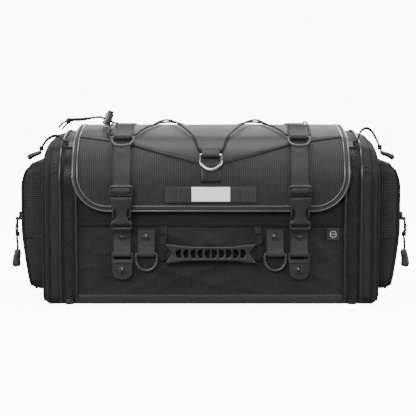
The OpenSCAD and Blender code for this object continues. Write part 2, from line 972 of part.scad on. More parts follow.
module left_pocket_door() {
    color([0.2, 0.2, 0.2])
        end_piece(-1)
            pocket_door();
}

module left_pocket_zip() {
    color([0.08, 0.08, 0.08])
        end_piece(-1)
            pocket_zip();
}

module left_pocket_slider() {
    color([0.35, 0.35, 0.35])
        end_piece(-1)
            pocket_slider();
}

module left_pocket_pull() {
    color([0.1, 0.1, 0.1])
        end_piece(-1)
            pocket_pull();
}

module right_end_shell() {
    color([0.15, 0.15, 0.16])
        end_piece(1)
            end_shell();
}

module right_end_piping() {
    color([0.62, 0.62, 0.62])
        end_piece(1)
            band(end_x0 - piping_w / 2, end_x0 + piping_w / 2, 0, piping_t, 4);
}

module right_zip_tape() {
    color([0.12, 0.12, 0.12])
        end_piece(1)
            end_tape();
}

module right_gusset() {
    color([0.1, 0.1, 0.1])
        end_piece(1)
            gusset();
}

module right_zip_slider() {
    color([0.35, 0.35, 0.35])
        end_piece(1)
            zip_slider();
}

module right_zip_pull() {
    color([0.1, 0.1, 0.1])
        end_piece(1)
            zip_pull(1);
}

module right_pocket_shell() {
    color([0.17, 0.17, 0.18])
        end_piece(1)
            pocket_shell();
}

module right_pocket_door() {
    color([0.2, 0.2, 0.2])
        end_piece(1)
            pocket_door();
}

module right_pocket_zip() {
    color([0.08, 0.08, 0.08])
        end_piece(1)
            pocket_zip();
}

module right_pocket_slider() {
    color([0.35, 0.35, 0.35])
        end_piece(1)
            pocket_slider();
}

module right_pocket_pull() {
    color([0.1, 0.1, 0.1])
        end_piece(1)
            pocket_pull();
}

base_panel();
base_board();
front_panel();
front_band();
back_panel();
top_collar();
body_piping();
zip_tapes();
webbing_tabs();
handle_patches();
rivets();
woven_tag();
left_buckle_socket();
right_buckle_socket();
lid_panel();
lid_yoke();
lid_binding();
straps();
strap_folds();
ring_loops();
rear_loops();
daisy_strip();
label();
left_buckle_plug();
right_buckle_plug();
elastic_cord();
cord_lock();
cord_lock_plunger();
left_top_ring();
right_top_ring();
centre_ring();
left_lower_ring();
right_lower_ring();
left_belt_tab();
right_belt_tab();
handle_grip();
handle_webbing();
left_end_shell();
left_end_piping();
left_zip_tape();
left_gusset();
left_zip_slider();
left_zip_pull();
left_pocket_shell();
left_pocket_door();
left_pocket_zip();
left_pocket_slider();
left_pocket_pull();
right_end_shell();
right_end_piping();
right_zip_tape();
right_gusset();
right_zip_slider();
right_zip_pull();
right_pocket_shell();
right_pocket_door();
right_pocket_zip();
right_pocket_slider();
right_pocket_pull();
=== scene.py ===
import math

import bmesh
import bpy
import numpy as np
from mathutils import Matrix, Vector, noise


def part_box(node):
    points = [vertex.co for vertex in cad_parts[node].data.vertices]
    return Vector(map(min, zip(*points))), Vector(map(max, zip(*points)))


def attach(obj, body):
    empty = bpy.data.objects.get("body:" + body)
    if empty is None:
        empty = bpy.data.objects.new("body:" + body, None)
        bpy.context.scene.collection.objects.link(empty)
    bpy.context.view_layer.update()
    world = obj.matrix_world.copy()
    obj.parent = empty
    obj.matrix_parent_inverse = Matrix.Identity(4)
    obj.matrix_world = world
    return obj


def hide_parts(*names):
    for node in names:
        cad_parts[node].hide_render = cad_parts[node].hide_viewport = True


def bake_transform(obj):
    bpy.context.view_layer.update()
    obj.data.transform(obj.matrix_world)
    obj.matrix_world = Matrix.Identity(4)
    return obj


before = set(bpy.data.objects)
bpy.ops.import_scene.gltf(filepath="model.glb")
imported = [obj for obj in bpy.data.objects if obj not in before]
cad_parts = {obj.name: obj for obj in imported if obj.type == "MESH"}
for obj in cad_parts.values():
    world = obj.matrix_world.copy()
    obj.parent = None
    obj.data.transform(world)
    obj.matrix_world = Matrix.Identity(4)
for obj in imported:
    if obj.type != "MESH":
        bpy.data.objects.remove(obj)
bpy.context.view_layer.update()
MM = 0.001


def span(node):
    """Lowest and highest corner of a CAD node, in millimetres."""
    lo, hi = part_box(node)
    return np.array(lo) / MM, np.array(hi) / MM


# ---- sizes read from the frame, in millimetres -------------------------------------------------
HB = span("front_panel")[1][0]
HD = -span("front_panel")[0][1]
BASE_H = span("base_panel")[1][2]
SEAM_Z = span("front_panel")[1][2]
TOP = span("top_collar")[1][2]
LID_HW = span("lid_panel")[1][0]
FLAP_Z = span("lid_panel")[0][2]
LID_OUT = -span("lid_panel")[0][1] - HD
LID_REAR_Z = FLAP_Z + 40
LID_T = 6.0
LID_IN = LID_OUT - LID_T
END_X0 = span("right_end_shell")[0][0]
END_X1 = span("right_end_shell")[1][0]
POCKET_X1 = span("right_pocket_shell")[1][0]
POCKET_HY = span("right_pocket_shell")[1][1]
POCKET_Z0 = span("right_pocket_shell")[0][2]
POCKET_Z1 = span("right_pocket_shell")[1][2]
STRAP_X = 0.5 * (span("right_belt_tab")[0][0] + span("right_belt_tab")[1][0])
RING_X = 0.5 * (span("right_lower_ring")[0][0] + span("right_lower_ring")[1][0])
FLAP_R = 50.0
SHOULDER_R = 55.0
CROWN_R = 400.0
SHOULDER_Y = HD - SHOULDER_R
CROWN_Z = TOP - CROWN_R
SHOULDER_Z = CROWN_Z + math.sqrt((CROWN_R - SHOULDER_R) ** 2 - SHOULDER_Y**2)
TANGENT = math.degrees(math.acos(SHOULDER_Y / (CROWN_R - SHOULDER_R)))


def arch(a, off):
    """(y, z) on the arched outline: a is 0 at the front, 90 at the top and 180 at the back."""
    a = float(a)
    if a < TANGENT:
        c, r = (-SHOULDER_Y, SHOULDER_Z), SHOULDER_R
    elif a > 180 - TANGENT:
        c, r = (SHOULDER_Y, SHOULDER_Z), SHOULDER_R
    else:
        c, r = (0.0, CROWN_Z), CROWN_R
    t = math.radians(a)
    return c[0] - (r + off) * math.cos(t), c[1] + (r + off) * math.sin(t)


S_FRONT = math.radians(TANGENT) * (SHOULDER_R + LID_OUT)
S_CROWN = math.radians(180 - 2 * TANGENT) * (CROWN_R + LID_OUT)


def wrap(s, off):
    """(y, z) at a run s along the body's outline from the height of the shoulder, negative down the front."""
    if s < 0:
        return -HD - off, SHOULDER_Z + s
    if s < S_FRONT:
        return arch(math.degrees(s / (SHOULDER_R + LID_OUT)), off)
    s -= S_FRONT
    if s < S_CROWN:
        return arch(TANGENT + math.degrees(s / (CROWN_R + LID_OUT)), off)
    s -= S_CROWN
    if s < S_FRONT:
        return arch(180 - TANGENT + math.degrees(s / (SHOULDER_R + LID_OUT)), off)
    return HD + off, SHOULDER_Z - (s - S_FRONT)


S_TOTAL = 2 * S_FRONT + S_CROWN


def normal(s):
    """(y, z) outward direction at a run s."""
    p, q = wrap(s, 0.0), wrap(s, 1.0)
    return q[0] - p[0], q[1] - p[1]


def wob(x, y, z, scale, seed=0.0):
    """Smooth noise from about -1 to 1."""
    return noise.noise(Vector((x / scale + seed, y / scale + 3.1 * seed, z / scale - seed)))


def fold(x, y, z, scale, seed=0.0):
    """Ridged noise from 0 to 1, for the creases of cloth."""
    return 1 - min(1.0, abs(wob(x, y, z, scale, seed)) * 2.6)


# ---- mesh helpers ------------------------------------------------------------------------------
def caps(rows, n):
    """The two end faces of a tube of rows rings of n points."""
    return [list(range(n))[::-1], [(rows - 1) * n + k for k in range(n)]]


def link(name, data):
    """A new object in the scene."""
    ob = bpy.data.objects.new(name, data)
    bpy.context.scene.collection.objects.link(ob)
    return ob


def full_turn(n):
    """n angles round a full circle."""
    return np.linspace(0, 2 * math.pi, n, endpoint=False)


def build(name, verts, faces, mat, coat=None, smooth=True, mats=None, mat_index=None):
    """A mesh object from millimetres. coat is a per-vertex (u, v) in millimetres for woven patterns."""
    me = bpy.data.meshes.new(name)
    me.from_pydata([tuple(float(c) * MM for c in v) for v in verts], [], [tuple(map(int, f)) for f in faces])
    me.update()
    if coat is not None:
        at = me.attributes.new("coat", "FLOAT_VECTOR", "POINT")
        flat = np.zeros((len(verts), 3), np.float32)
        flat[:, : np.array(coat).shape[1]] = np.array(coat, np.float32) * MM
        at.data.foreach_set("vector", flat.ravel())
    for m in mats or [mat]:
        me.materials.append(m)
    if mat_index is not None:
        me.polygons.foreach_set("material_index", np.array(mat_index, np.int32))
    if smooth:
        me.polygons.foreach_set("use_smooth", np.ones(len(me.polygons), bool))
    return link(name, me)


def tidy(ob):
    """Merges doubled points and turns the faces outwards."""
    bm = bmesh.new()
    bm.from_mesh(ob.data)
    bmesh.ops.remove_doubles(bm, verts=bm.verts, dist=1e-6)
    bmesh.ops.delete(bm, geom=[v for v in bm.verts if not v.link_faces], context="VERTS")
    bmesh.ops.recalc_face_normals(bm, faces=bm.faces)
    bm.to_mesh(ob.data)
    bm.free()
    return ob


def lattice(nu, nv, first=0, closed_u=False, closed_v=False, flip=False):
    """Faces of a grid of nu by nv points."""
    out = []
    for i in range(nu if closed_u else nu - 1):
        for j in range(nv if closed_v else nv - 1):
            a, b = i * nv + j, ((i + 1) % nu) * nv + j
            c, d = ((i + 1) % nu) * nv + (j + 1) % nv, i * nv + (j + 1) % nv
            f = [first + a, first + b, first + c, first + d]
            out.append(f[::-1] if flip else f)
    return out


def slab(name, outer, inner, mat, lining=None, keep=None):
    """A closed sheet between two grids of points of one shape. keep marks the cells that are cloth."""
    outer, inner = np.array(outer, float), np.array(inner, float)
    nu, nv = outer.shape[:2]
    n = nu * nv
    verts = np.concatenate([outer.reshape(-1, 3), inner.reshape(-1, 3)])
    faces, index, rim = [], [], {}
    for i in range(nu - 1):
        for j in range(nv - 1):
            if keep is not None and not keep(i, j):
                continue
            q = [i * nv + j, (i + 1) * nv + j, (i + 1) * nv + j + 1, i * nv + j + 1]
            faces += [q, [v + n for v in q[::-1]]]
            index += [0, 1 if lining else 0]
            for k in range(4):
                e = (q[k], q[(k + 1) % 4])
                if rim.pop(e[::-1], None) is None:
                    rim[e] = True
    for a, b in rim:
        faces.append([b, a, a + n, b + n])
        index.append(0)
    return tidy(build(name, verts, faces, mat, mats=[mat, lining] if lining else [mat], mat_index=index))


def grid(us, vs, place):
    """Points place(u, v) for every u and v."""
    return np.array([[place(u, v) for v in vs] for u in us], float)


def resample(pts, n, closed=False):
    """n points evenly along a broken line."""
    p = np.array(pts, float)
    if closed:
        p = np.vstack([p, p[:1]])
    s = run_of(p)
    t = np.linspace(0, s[-1], n, endpoint=not closed)
    return np.stack([np.interp(t, s, p[:, k]) for k in range(p.shape[1])], 1)


def frames(pts, closed=False):
    """Tangents and two normals along a path, turned as little as possible."""
    p = np.array(pts, float)
    if closed:
        t = np.roll(p, -1, 0) - np.roll(p, 1, 0)
    else:
        t = np.gradient(p, axis=0)
    t /= np.linalg.norm(t, axis=1)[:, None] + 1e-12
    u = np.cross(t[0], [0, 0, 1.0] if abs(t[0][2]) < 0.9 else [0, 1.0, 0])
    u /= np.linalg.norm(u)
    us = [u]
    for i in range(1, len(p)):
        u = us[-1] - t[i] * np.dot(us[-1], t[i])
        us.append(u / np.linalg.norm(u))
    us = np.array(us)
    if closed:
        end = us[-1] - t[0] * np.dot(us[-1], t[0])
        end /= np.linalg.norm(end)
        twist = math.atan2(np.dot(np.cross(end, us[0]), t[0]), np.dot(end, us[0]))
        for i in range(len(p)):
            a = twist * i / len(p)
            w = np.cross(t[i], us[i])
            us[i] = us[i] * math.cos(a) + w * math.sin(a)
    return p, t, us, np.cross(t, us)


def smooth_path(pts, n, closed=False):
    """n points on a Catmull-Rom curve through pts."""
    p = np.array(pts, float)
    m = len(p) if closed else len(p) - 1
    out = []
    for k in np.linspace(0, m, n, endpoint=not closed):
        i = min(int(k), m - 1)
        f = k - i
        if closed:
            a, b, c, d = p[(i - 1) % m], p[i % m], p[(i + 1) % m], p[(i + 2) % m]
        else:
            a, b, c, d = p[max(i - 1, 0)], p[i], p[i + 1], p[min(i + 2, m)]
        out.append(0.5 * (2 * b + (c - a) * f + (2 * a - 5 * b + 4 * c - d) * f**2 + (3 * b - a - 3 * c + d)
            * f**3))
    return np.array(out)


def run_of(p):
    """The run along a path at each of its points."""
    d = np.linalg.norm(np.diff(np.array(p, float), axis=0), axis=1)
    return np.concatenate([[0], np.cumsum(d)])


def tube(name, pts, r, mat, n=10, closed=False, flat=1.0):
    """A round tube along a path; r may be a list. flat squeezes it along its second normal."""
    p, t, u, w = frames(pts, closed)
    rr = np.full(len(p), r, float) if np.isscalar(r) else np.array(r, float)
    s = run_of(p)
    verts, coat = [], []
    for i in range(len(p)):
        for k in range(n):
            a = 2 * math.pi * k / n
            verts.append(p[i] + rr[i] * (math.cos(a) * u[i] + flat * math.sin(a) * w[i]))
            coat.append((s[i], rr[i] * a))
    faces = lattice(len(p), n, closed_u=closed, closed_v=True)
    if not closed:
        faces += caps(len(p), n)
    return tidy(build(name, verts, faces, mat, coat))


def band(name, pts, across, up, half, thick, mat, wave=0.0, seed=0.0):
    """Flat webbing along a path. across and up are the directions of its width and its face."""
    p = np.array(pts, float)
    across = np.broadcast_to(np.array(across, float), p.shape)
    up = np.broadcast_to(np.array(up, float), p.shape)
    s = run_of(p)
    ring = [(-1, 0), (-0.985, 0.55), (-0.9, 0.92), (-0.72, 1), (-0.35, 1), (0, 1), (0.35, 1), (0.72, 1),
        (0.9, 0.92), (0.985, 0.55), (1, 0), (0.985, -0.55), (0.9, -0.92), (0.72, -1), (0, -1), (-0.72, -1),
        (-0.9, -0.92), (-0.985, -0.55)]
    verts, coat = [], []
    for i in range(len(p)):
        for a, b in ring:
            lift = wave * wob(a * 9, s[i], seed * 17, 14.0, seed)
            verts.append(p[i] + across[i] * half * a + up[i] * (0.5 * thick * b + lift))
            coat.append((half * a, s[i]))
    n = len(ring)
    faces = lattice(len(p), n, closed_v=True) + caps(len(p), n)
    return tidy(build(name, verts, faces, mat, coat))


def stitches(name, paths, mat, pitch=3.2, length=2.3, r=0.34):
    """Rows of thread: a short rounded bar for each stitch along each path."""
    verts, faces = [], []
    ring = [(0.0, 0.35), (0.18, 1.0), (0.82, 1.0), (1.0, 0.35)]
    for path in paths:
        p = np.array(path, float)
        s = run_of(p)
        count = int(s[-1] / pitch)
        if count < 1:
            continue
        for k in range(count):
            s0 = (k + 0.5) * pitch - 0.5 * length
            a = np.array([np.interp(s0, s, p[:, c]) for c in range(3)])
            b = np.array([np.interp(s0 + length, s, p[:, c]) for c in range(3)])
            t = (b - a) / (np.linalg.norm(b - a) + 1e-9)
            u = np.cross(t, [0.31, 0.52, 0.79])
            u /= np.linalg.norm(u)
            w = np.cross(t, u)
            first = len(verts)
            for f, g in ring:
                for q in range(5):
                    ang = 2 * math.pi * q / 5
                    verts.append(a + (b - a) * f + r * g * (math.cos(ang) * u + math.sin(ang) * w))
            faces += lattice(4, 5, first, closed_v=True)
            faces.append([first + q for q in range(5)][::-1])
            faces.append([first + 15 + q for q in range(5)])
    return build(name, verts, faces, mat)


def plate(name, outline, holes, depth, edge, mat, place=None):
    """A flat moulded plate from an outline and holes in (x, z), its face towards -Y, with rounded edges."""
    cu = bpy.data.curves.new(name, "CURVE")
    cu.dimensions = "2D"
    cu.fill_mode = "BOTH"
    for loop in [outline] + list(holes):
        sp = cu.splines.new("POLY")
        sp.points.add(len(loop) - 1)
        for pt, q in zip(sp.points, loop):
            pt.co = (q[0] * MM, q[1] * MM, 0, 1)
        sp.use_cyclic_u = True
    cu.extrude = max(0.02, 0.5 * depth - edge) * MM
    cu.bevel_depth = edge * MM
    cu.bevel_resolution = 3
    cu.offset = -edge * MM
    tmp = link(name + "_c", cu)
    bpy.context.view_layer.update()
    me = bpy.data.meshes.new_from_object(tmp.evaluated_get(bpy.context.evaluated_depsgraph_get()))
    bpy.data.objects.remove(tmp)
    me.transform(Matrix.Rotation(math.pi / 2, 4, "X"))
    if place is not None:
        me.transform(place)
    me.name = name
    me.materials.clear()
    me.materials.append(mat)
    ob = tidy(link(name, me))
    me.polygons.foreach_set("use_smooth", np.ones(len(me.polygons), bool))
    sharp(ob, 40)
    return ob


def sharp(ob, angle=35):
    """Smooth shading that keeps edges over the angle crisp."""
    ob.data.set_sharp_from_angle(angle=math.radians(angle))
    return ob


def lathe(name, profile, mat, place=None, n=32):
    """A turned solid about Z from (r, z) pairs."""
    verts, faces = [], []
    for r, z in profile:
        for k in range(n):
            a = 2 * math.pi * k / n
            verts.append((r * math.cos(a), r * math.sin(a), z))
    faces = lattice(len(profile), n, closed_v=True) + caps(len(profile), n)
    ob = tidy(build(name, verts, faces, mat))
    if place is not None:
        ob.data.transform(place)
    sharp(ob, 45)
    return ob


def at(x, y, z, rx=0.0, ry=0.0, rz=0.0):
    """A placement from millimetres and degrees."""
    rot = Matrix.Rotation(math.radians(rz), 4, "Z") @ Matrix.Rotation(math.radians(ry), 4, "Y")
    rot = rot @ Matrix.Rotation(math.radians(rx), 4, "X")
    return Matrix.Translation((x * MM, y * MM, z * MM)) @ rot


def join(name, obs):
    """Joins meshes into one piece of that name."""
    keep = obs[0]
    with bpy.context.temp_override(active_object=keep, selected_editable_objects=obs, selected_objects=obs):
        bpy.ops.object.join()
    keep.name = name
    keep.data.name = name
    return keep


def put(ob, body, nodes=()):
    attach(ob, body)
    if nodes:
        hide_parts(*([nodes] if isinstance(nodes, str) else nodes))
    return ob


def roundrect(x0, x1, z0, z1, r, n=6):
    out = []
    for cx, cz, a0 in ((x1 - r, z1 - r, 0), (x0 + r, z1 - r, 90), (x0 + r, z0 + r, 180),
            (x1 - r, z0 + r, 270)):
        for k in range(n + 1):
            a = math.radians(a0 + 90 * k / n)
            out.append((cx + r * math.cos(a), cz + r * math.sin(a)))
    return out


# ---- materials ---------------------------------------------------------------------------------
class Graph:
    """A material with a few shorthand calls for its nodes."""

    def __init__(self, name, rough=0.6, metal=0.0, spec=0.5, sheen=0.0, coat=0.0, coat_rough=0.2):
        self.mat = bpy.data.materials.new(name)
        self.mat.use_nodes = True
        self.nt = self.mat.node_tree
        self.bsdf = self.nt.nodes["Principled BSDF"]
        self.bsdf.inputs["Metallic"].default_value = metal
        self.bsdf.inputs["Roughness"].default_value = rough
        self.bsdf.inputs["Specular IOR Level"].default_value = spec
        self.bsdf.inputs["Sheen Weight"].default_value = sheen
        self.bsdf.inputs["Sheen Roughness"].default_value = 0.45
        self.bsdf.inputs["Coat Weight"].default_value = coat
        self.bsdf.inputs["Coat Roughness"].default_value = coat_rough
        c = self.nt.nodes.new("ShaderNodeTexCoord")
        self.obj = c.outputs["Object"]
        a = self.nt.nodes.new("ShaderNodeAttribute")
        a.attribute_name = "coat"
        self.coat = a.outputs["Vector"]

    def put(self, sock, value):
        if isinstance(value, bpy.types.NodeSocket):
            self.nt.links.new(value, sock)
        else:
            sock.default_value = value

    def math(self, op, a, b=0.0, c=0.0, clamp=False):
        n = self.nt.nodes.new("ShaderNodeMath")
        n.operation = op
        n.use_clamp = clamp
        for i, v in enumerate((a, b, c)):
            self.put(n.inputs[i], v)
        return n.outputs[0]

    def axis(self, vec, k):
        n = self.nt.nodes.new("ShaderNodeSeparateXYZ")
        self.put(n.inputs[0], vec)
        return n.outputs[k]

    def noise(self, vec, scale, detail=2.0, rough=0.5):
        n = self.nt.nodes.new("ShaderNodeTexNoise")
        self.put(n.inputs["Vector"], vec)
        n.inputs["Scale"].default_value = scale
        n.inputs["Detail"].default_value = detail
        n.inputs["Roughness"].default_value = rough
        return n.outputs["Fac"]

    def voronoi(self, vec, scale):
        n = self.nt.nodes.new("ShaderNodeTexVoronoi")
        self.put(n.inputs["Vector"], vec)
        n.inputs["Scale"].default_value = scale
        return n.outputs["Distance"]

    def wave(self, value, pitch):
        """0 to 1, once every pitch metres of value."""
        s = self.math("SINE", self.math("MULTIPLY_ADD", value, 2 * math.pi / pitch, 0.0))
        return self.math("MULTIPLY_ADD", s, 0.5, 0.5)

    def ramp(self, fac, stops):
        n = self.nt.nodes.new("ShaderNodeValToRGB")
        self.put(n.inputs[0], fac)
        el = n.color_ramp.elements
        while len(el) < len(stops):
            el.new(0.5)
        for e, (pos, col) in zip(el, stops):
            e.position = pos
            e.color = (*col, 1.0)
        return n.outputs["Color"]

    def mix(self, fac, a, b):
        n = self.nt.nodes.new("ShaderNodeMix")
        n.data_type = "RGBA"
        self.put(n.inputs["Factor"], fac)
        for sock, v in ((n.inputs[6], a), (n.inputs[7], b)):
            self.put(sock, (*v, 1.0) if isinstance(v, tuple) else v)
        return n.outputs[2]

    def finish(self, colour, height=None, strength=0.4, distance=0.0004, rough=None):
        """Joins the colour, the bump and the gloss to the shader."""
        self.put(self.bsdf.inputs["Base Color"], colour)
        if rough is not None:
            self.put(self.bsdf.inputs["Roughness"], rough)
        if height is not None:
            b = self.nt.nodes.new("ShaderNodeBump")
            b.inputs["Strength"].default_value = strength
            b.inputs["Distance"].default_value = distance
            self.put(b.inputs["Height"], height)
            self.put(self.bsdf.inputs["Normal"], b.outputs[0])
        return self.mat


def grey(v, warm=0.0):
    return (v * (1 + warm), v, v * (1 - warm * 0.6))


def ribbed(name, low, high, pitch=0.0026, axis=0, rough=0.66, sheen=0.03):
    """Heavy nylon with a rib along one axis and a fine weave across it."""
    g = Graph(name, rough=rough, sheen=sheen, spec=0.2)
    drift = g.math("MULTIPLY_ADD", g.noise(g.obj, 38.0, 2.0), 0.0011, g.axis(g.obj, axis))
    rib = g.wave(drift, pitch)
    weave = g.wave(g.math("MULTIPLY_ADD", g.noise(g.obj, 90.0, 1.0), 0.0006, g.axis(g.obj, 2)), 0.0012)
    weft = g.wave(g.axis(g.obj, 1), 0.0012)
    cloudy = g.noise(g.obj, 14.0, 4.0, 0.6)
    tone = g.math("MULTIPLY_ADD", rib, 0.62, g.math("MULTIPLY", weave, 0.16))
    tone = g.math("ADD", tone, g.math("MULTIPLY_ADD", cloudy, 0.5, -0.22), clamp=True)
    col = g.ramp(tone, [(0.0, grey(low)), (0.55, grey(0.5 * (low + high))), (1.0, grey(high))])
    h = g.math("ADD", g.math("MULTIPLY", rib, 0.8), g.math("MULTIPLY", g.math("ADD", weave, weft), 0.12))
    h = g.math("ADD", h, g.math("MULTIPLY", g.noise(g.obj, 900.0, 2.0), 0.25))
    r = g.math("MULTIPLY_ADD", cloudy, 0.16, rough - 0.08)
    return g.finish(col, h, 0.55, 0.0005, r)


def woven(name, low, high, rough=0.6, sheen=0.02, pitch=0.0009):
    """Smooth close-woven nylon."""
    g = Graph(name, rough=rough, sheen=sheen, spec=0.2)
    x, y, z = (g.axis(g.obj, k) for k in range(3))
    a, b = g.wave(g.math("ADD", x, y), pitch), g.wave(g.math("SUBTRACT", z, y), pitch)
    check = g.math("MULTIPLY", a, b)
    cloudy = g.noise(g.obj, 11.0, 5.0, 0.62)
    tone = g.math("ADD", g.math("MULTIPLY", check, 0.5), g.math("MULTIPLY_ADD", cloudy, 0.8, -0.2),
        clamp=True)
    col = g.ramp(tone, [(0.0, grey(low)), (1.0, grey(high))])
    h = g.math("ADD", check, g.math("MULTIPLY", g.noise(g.obj, 240.0, 3.0), 0.7))
    return g.finish(col, h, 0.35, 0.0003, g.math("MULTIPLY_ADD", cloudy, 0.2, rough - 0.1))


def coated(name, low, high, rough=0.34, grain=900.0, coat=0.25, warm=0.0):
    """Coated cloth with a fine pebble grain and a soft gloss."""
    g = Graph(name, rough=rough, spec=0.34, coat=coat, coat_rough=0.32)
    cell = g.voronoi(g.obj, grain)
    cloudy = g.noise(g.obj, 9.0, 5.0, 0.6)
    tone = g.math("ADD", g.math("MULTIPLY", cell, 0.35), g.math("MULTIPLY_ADD", cloudy, 0.9, -0.18),
        clamp=True)
    col = g.ramp(tone, [(0.0, grey(low, warm)), (1.0, grey(high, warm))])
    h = g.math("ADD", g.math("MULTIPLY", cell, 0.7), g.math("MULTIPLY", g.noise(g.obj, 60.0, 4.0), 0.8))
    return g.finish(col, h, 0.3, 0.0005, g.math("MULTIPLY_ADD", cloudy, 0.22, rough - 0.1))


def tape(name, low, high, rough=0.6, pitch=0.0021, sheen=0.04, edge=0.0125):
    """Webbing: rows across it that lean to and fro, and a darker selvedge."""
    g = Graph(name, rough=rough, sheen=sheen, spec=0.22)
    u, v = g.axis(g.coat, 0), g.axis(g.coat, 1)
    lean = g.math("ABSOLUTE", g.math("SUBTRACT", g.math("MODULO", g.math("ADD", u, 0.1), 0.0062), 0.0031))
    rows = g.wave(g.math("MULTIPLY_ADD", lean, 0.55, v), pitch)
    cords = g.wave(u, 0.00155)
    cloudy = g.noise(g.obj, 30.0, 4.0)
    tone = g.math("ADD", g.math("MULTIPLY", rows, 0.5), g.math("MULTIPLY", cords, 0.2))
    tone = g.math("ADD", tone, g.math("MULTIPLY_ADD", cloudy, 0.6, -0.25), clamp=True)
    col = g.ramp(tone, [(0.0, grey(low)), (1.0, grey(high))])
    rim = g.math("GREATER_THAN", g.math("ABSOLUTE", u), edge * 0.88)
    col = g.mix(g.math("MULTIPLY", rim, 0.5), col, grey(low * 0.8))
    h = g.math("ADD", g.math("MULTIPLY", rows, 0.8), g.math("MULTIPLY", cords, 0.4))
    return g.finish(col, h, 0.6, 0.0005)


def moulded(name, base, rough=0.42, speck=0.2, coat=0.0, metal=0.0):
    """Moulded plastic or rubber: a faint spark-eroded texture, scuffs and uneven gloss."""
    g = Graph(name, rough=rough, spec=0.5, coat=coat, metal=metal)
    fine = g.noise(g.obj, 1500.0, 2.0)
    cloudy = g.noise(g.obj, 45.0, 4.0, 0.65)
    col = g.ramp(g.math("MULTIPLY_ADD", fine, speck, g.math("MULTIPLY", cloudy, 0.7)),
        [(0.15, grey(base * 0.7)), (0.85, grey(base * 1.5))])
    return g.finish(col, g.math("ADD", fine, cloudy), 0.12, 0.0002, g.math("MULTIPLY_ADD", cloudy, 0.24,
        rough - 0.12))


def metal(name, base, rough, warm=0.0):
    """Bare or coated metal with hairline scratches."""
    g = Graph(name, rough=rough, metal=1.0)
    long = g.noise(g.obj, 300.0, 3.0)
    cloudy = g.noise(g.obj, 60.0, 3.0)
    col = g.ramp(cloudy, [(0.2, grey(base * 0.82, warm)), (0.8, grey(base, warm))])
    return g.finish(col, long, 0.03, 0.0001, g.math("MULTIPLY_ADD", long, 0.12, rough - 0.04))


def braid(name, low, high):
    """Braided sleeve on an elastic cord."""
    g = Graph(name, rough=0.55, sheen=0.04, spec=0.3)
    u, v = g.axis(g.coat, 0), g.axis(g.coat, 1)
    a = g.wave(g.math("ADD", u, g.math("MULTIPLY", v, 1.1)), 0.0016)
    b = g.wave(g.math("SUBTRACT", u, g.math("MULTIPLY", v, 1.1)), 0.0016)
    knit = g.math("MAXIMUM", a, b)
    return g.finish(g.ramp(knit, [(0.3, grey(low)), (1.0, grey(high))]), knit, 0.7, 0.0004)


def netting(name, low, high):
    """Spacer mesh: rows of small holes over a dark lining."""
    g = Graph(name, rough=0.6, sheen=0.03, spec=0.22)
    u = g.wave(g.math("ADD", g.axis(g.obj, 0), g.axis(g.obj, 1)), 0.0031)
    v = g.wave(g.math("MULTIPLY_ADD", g.noise(g.obj, 25.0, 1.0), 0.0012, g.axis(g.obj, 2)), 0.0031)
    hole = g.math("MULTIPLY", g.math("MULTIPLY", u, v), 2.4, clamp=True)
    cloudy = g.noise(g.obj, 30.0, 3.0)
    col = g.mix(hole, g.ramp(cloudy, [(0.2, grey(high * 0.7)), (0.8, grey(high))]), grey(low))
    return g.finish(col, g.math("SUBTRACT", 1.0, hole), 0.8, 0.0007)


M = {"rib": ribbed("nylon_rib", 0.003, 0.028), "rib_lid": ribbed("nylon_rib_lid", 0.005, 0.048),
    "rib_end": ribbed("nylon_rib_end", 0.003, 0.022, axis=1), "smooth": woven("nylon_smooth", 0.004, 0.011),
    "lining": woven("lining", 0.05, 0.09, rough=0.75, pitch=0.0014), "pvc": coated("coated_skin", 0.006,
    0.016, rough=0.46, coat=0.0, warm=0.01), "base": coated("coated_base", 0.02, 0.042, rough=0.55,
    grain=500.0, coat=0.0), "welt": coated("welt", 0.008, 0.02, rough=0.24, grain=1400.0, coat=0.35),
    # the flap's welts: dark glossy piping like the body welt, with its colour lightened as a painted
    # highlight
    "flap_welt_painted_highlight": coated("flap_welt_painted_highlight", 0.035, 0.075, rough=0.2, grain=1400.0, coat=0.8),
    "binding": tape("binding", 0.012, 0.035, pitch=0.0012, edge=0.02), "web": tape("webbing", 0.012, 0.052),
    "plastic": moulded("plastic", 0.014, rough=0.36), "web_dark": tape("webbing_dark", 0.005, 0.016),
    "rubber": moulded("pull_rubber", 0.012, rough=0.42), "lock": moulded("lock_body", 0.1, rough=0.24,
    metal=0.7), "chrome": metal("chrome", 0.5, 0.14), "rivet": metal("rivet", 0.06, 0.3),
    "dark_metal": moulded("dark_metal", 0.03, rough=0.36, speck=0.05, coat=0.12),
    "smooth_pocket": woven("pocket_cloth", 0.008, 0.03), "thread": moulded("thread", 0.05, rough=0.6),
    "thread_dark": moulded("thread_dark", 0.016, rough=0.65), "cord": braid("cord", 0.003, 0.01),
    "zip": tape("zip_tape", 0.006, 0.018, pitch=0.001, edge=0.05), "coil": moulded("zip_coil", 0.018,
    rough=0.4), "mesh": netting("mesh_panel", 0.004, 0.034), "label": woven("label_blank", 0.78, 0.9,
    rough=0.7, pitch=0.0007), "board": moulded("board", 0.03, rough=0.6),}

# ---- camera, light and floor -------------------------------------------------------------------
VIEW_W = 586.0
DIST = 1900.0
ELEV = 5.0
target = Vector((-4.0, -HD - 5.0, 139.5)) * MM
cam_data = bpy.data.cameras.new("camera")
cam_data.sensor_width = 36.0
cam_data.lens = 36.0 * DIST / VIEW_W
cam = link("camera", cam_data)
e = math.radians(ELEV)
cam.location = target + Vector((0, -math.cos(e), math.sin(e))) * DIST * MM
cam.rotation_euler = (math.pi / 2 - e, 0, 0)
bpy.context.scene.camera = cam


def area(name, loc, to, size, power, colour=(1, 1, 1)):
    data = bpy.data.lights.new(name, "AREA")
    data.shape = "RECTANGLE"
    data.size, data.size_y = size
    data.energy = power
    data.color = colour
    ob = link(name, data)
    ob.location = loc
    ob.rotation_euler = (Vector(to) - Vector(loc)).to_track_quat("-Z", "Y").to_euler()
    return ob


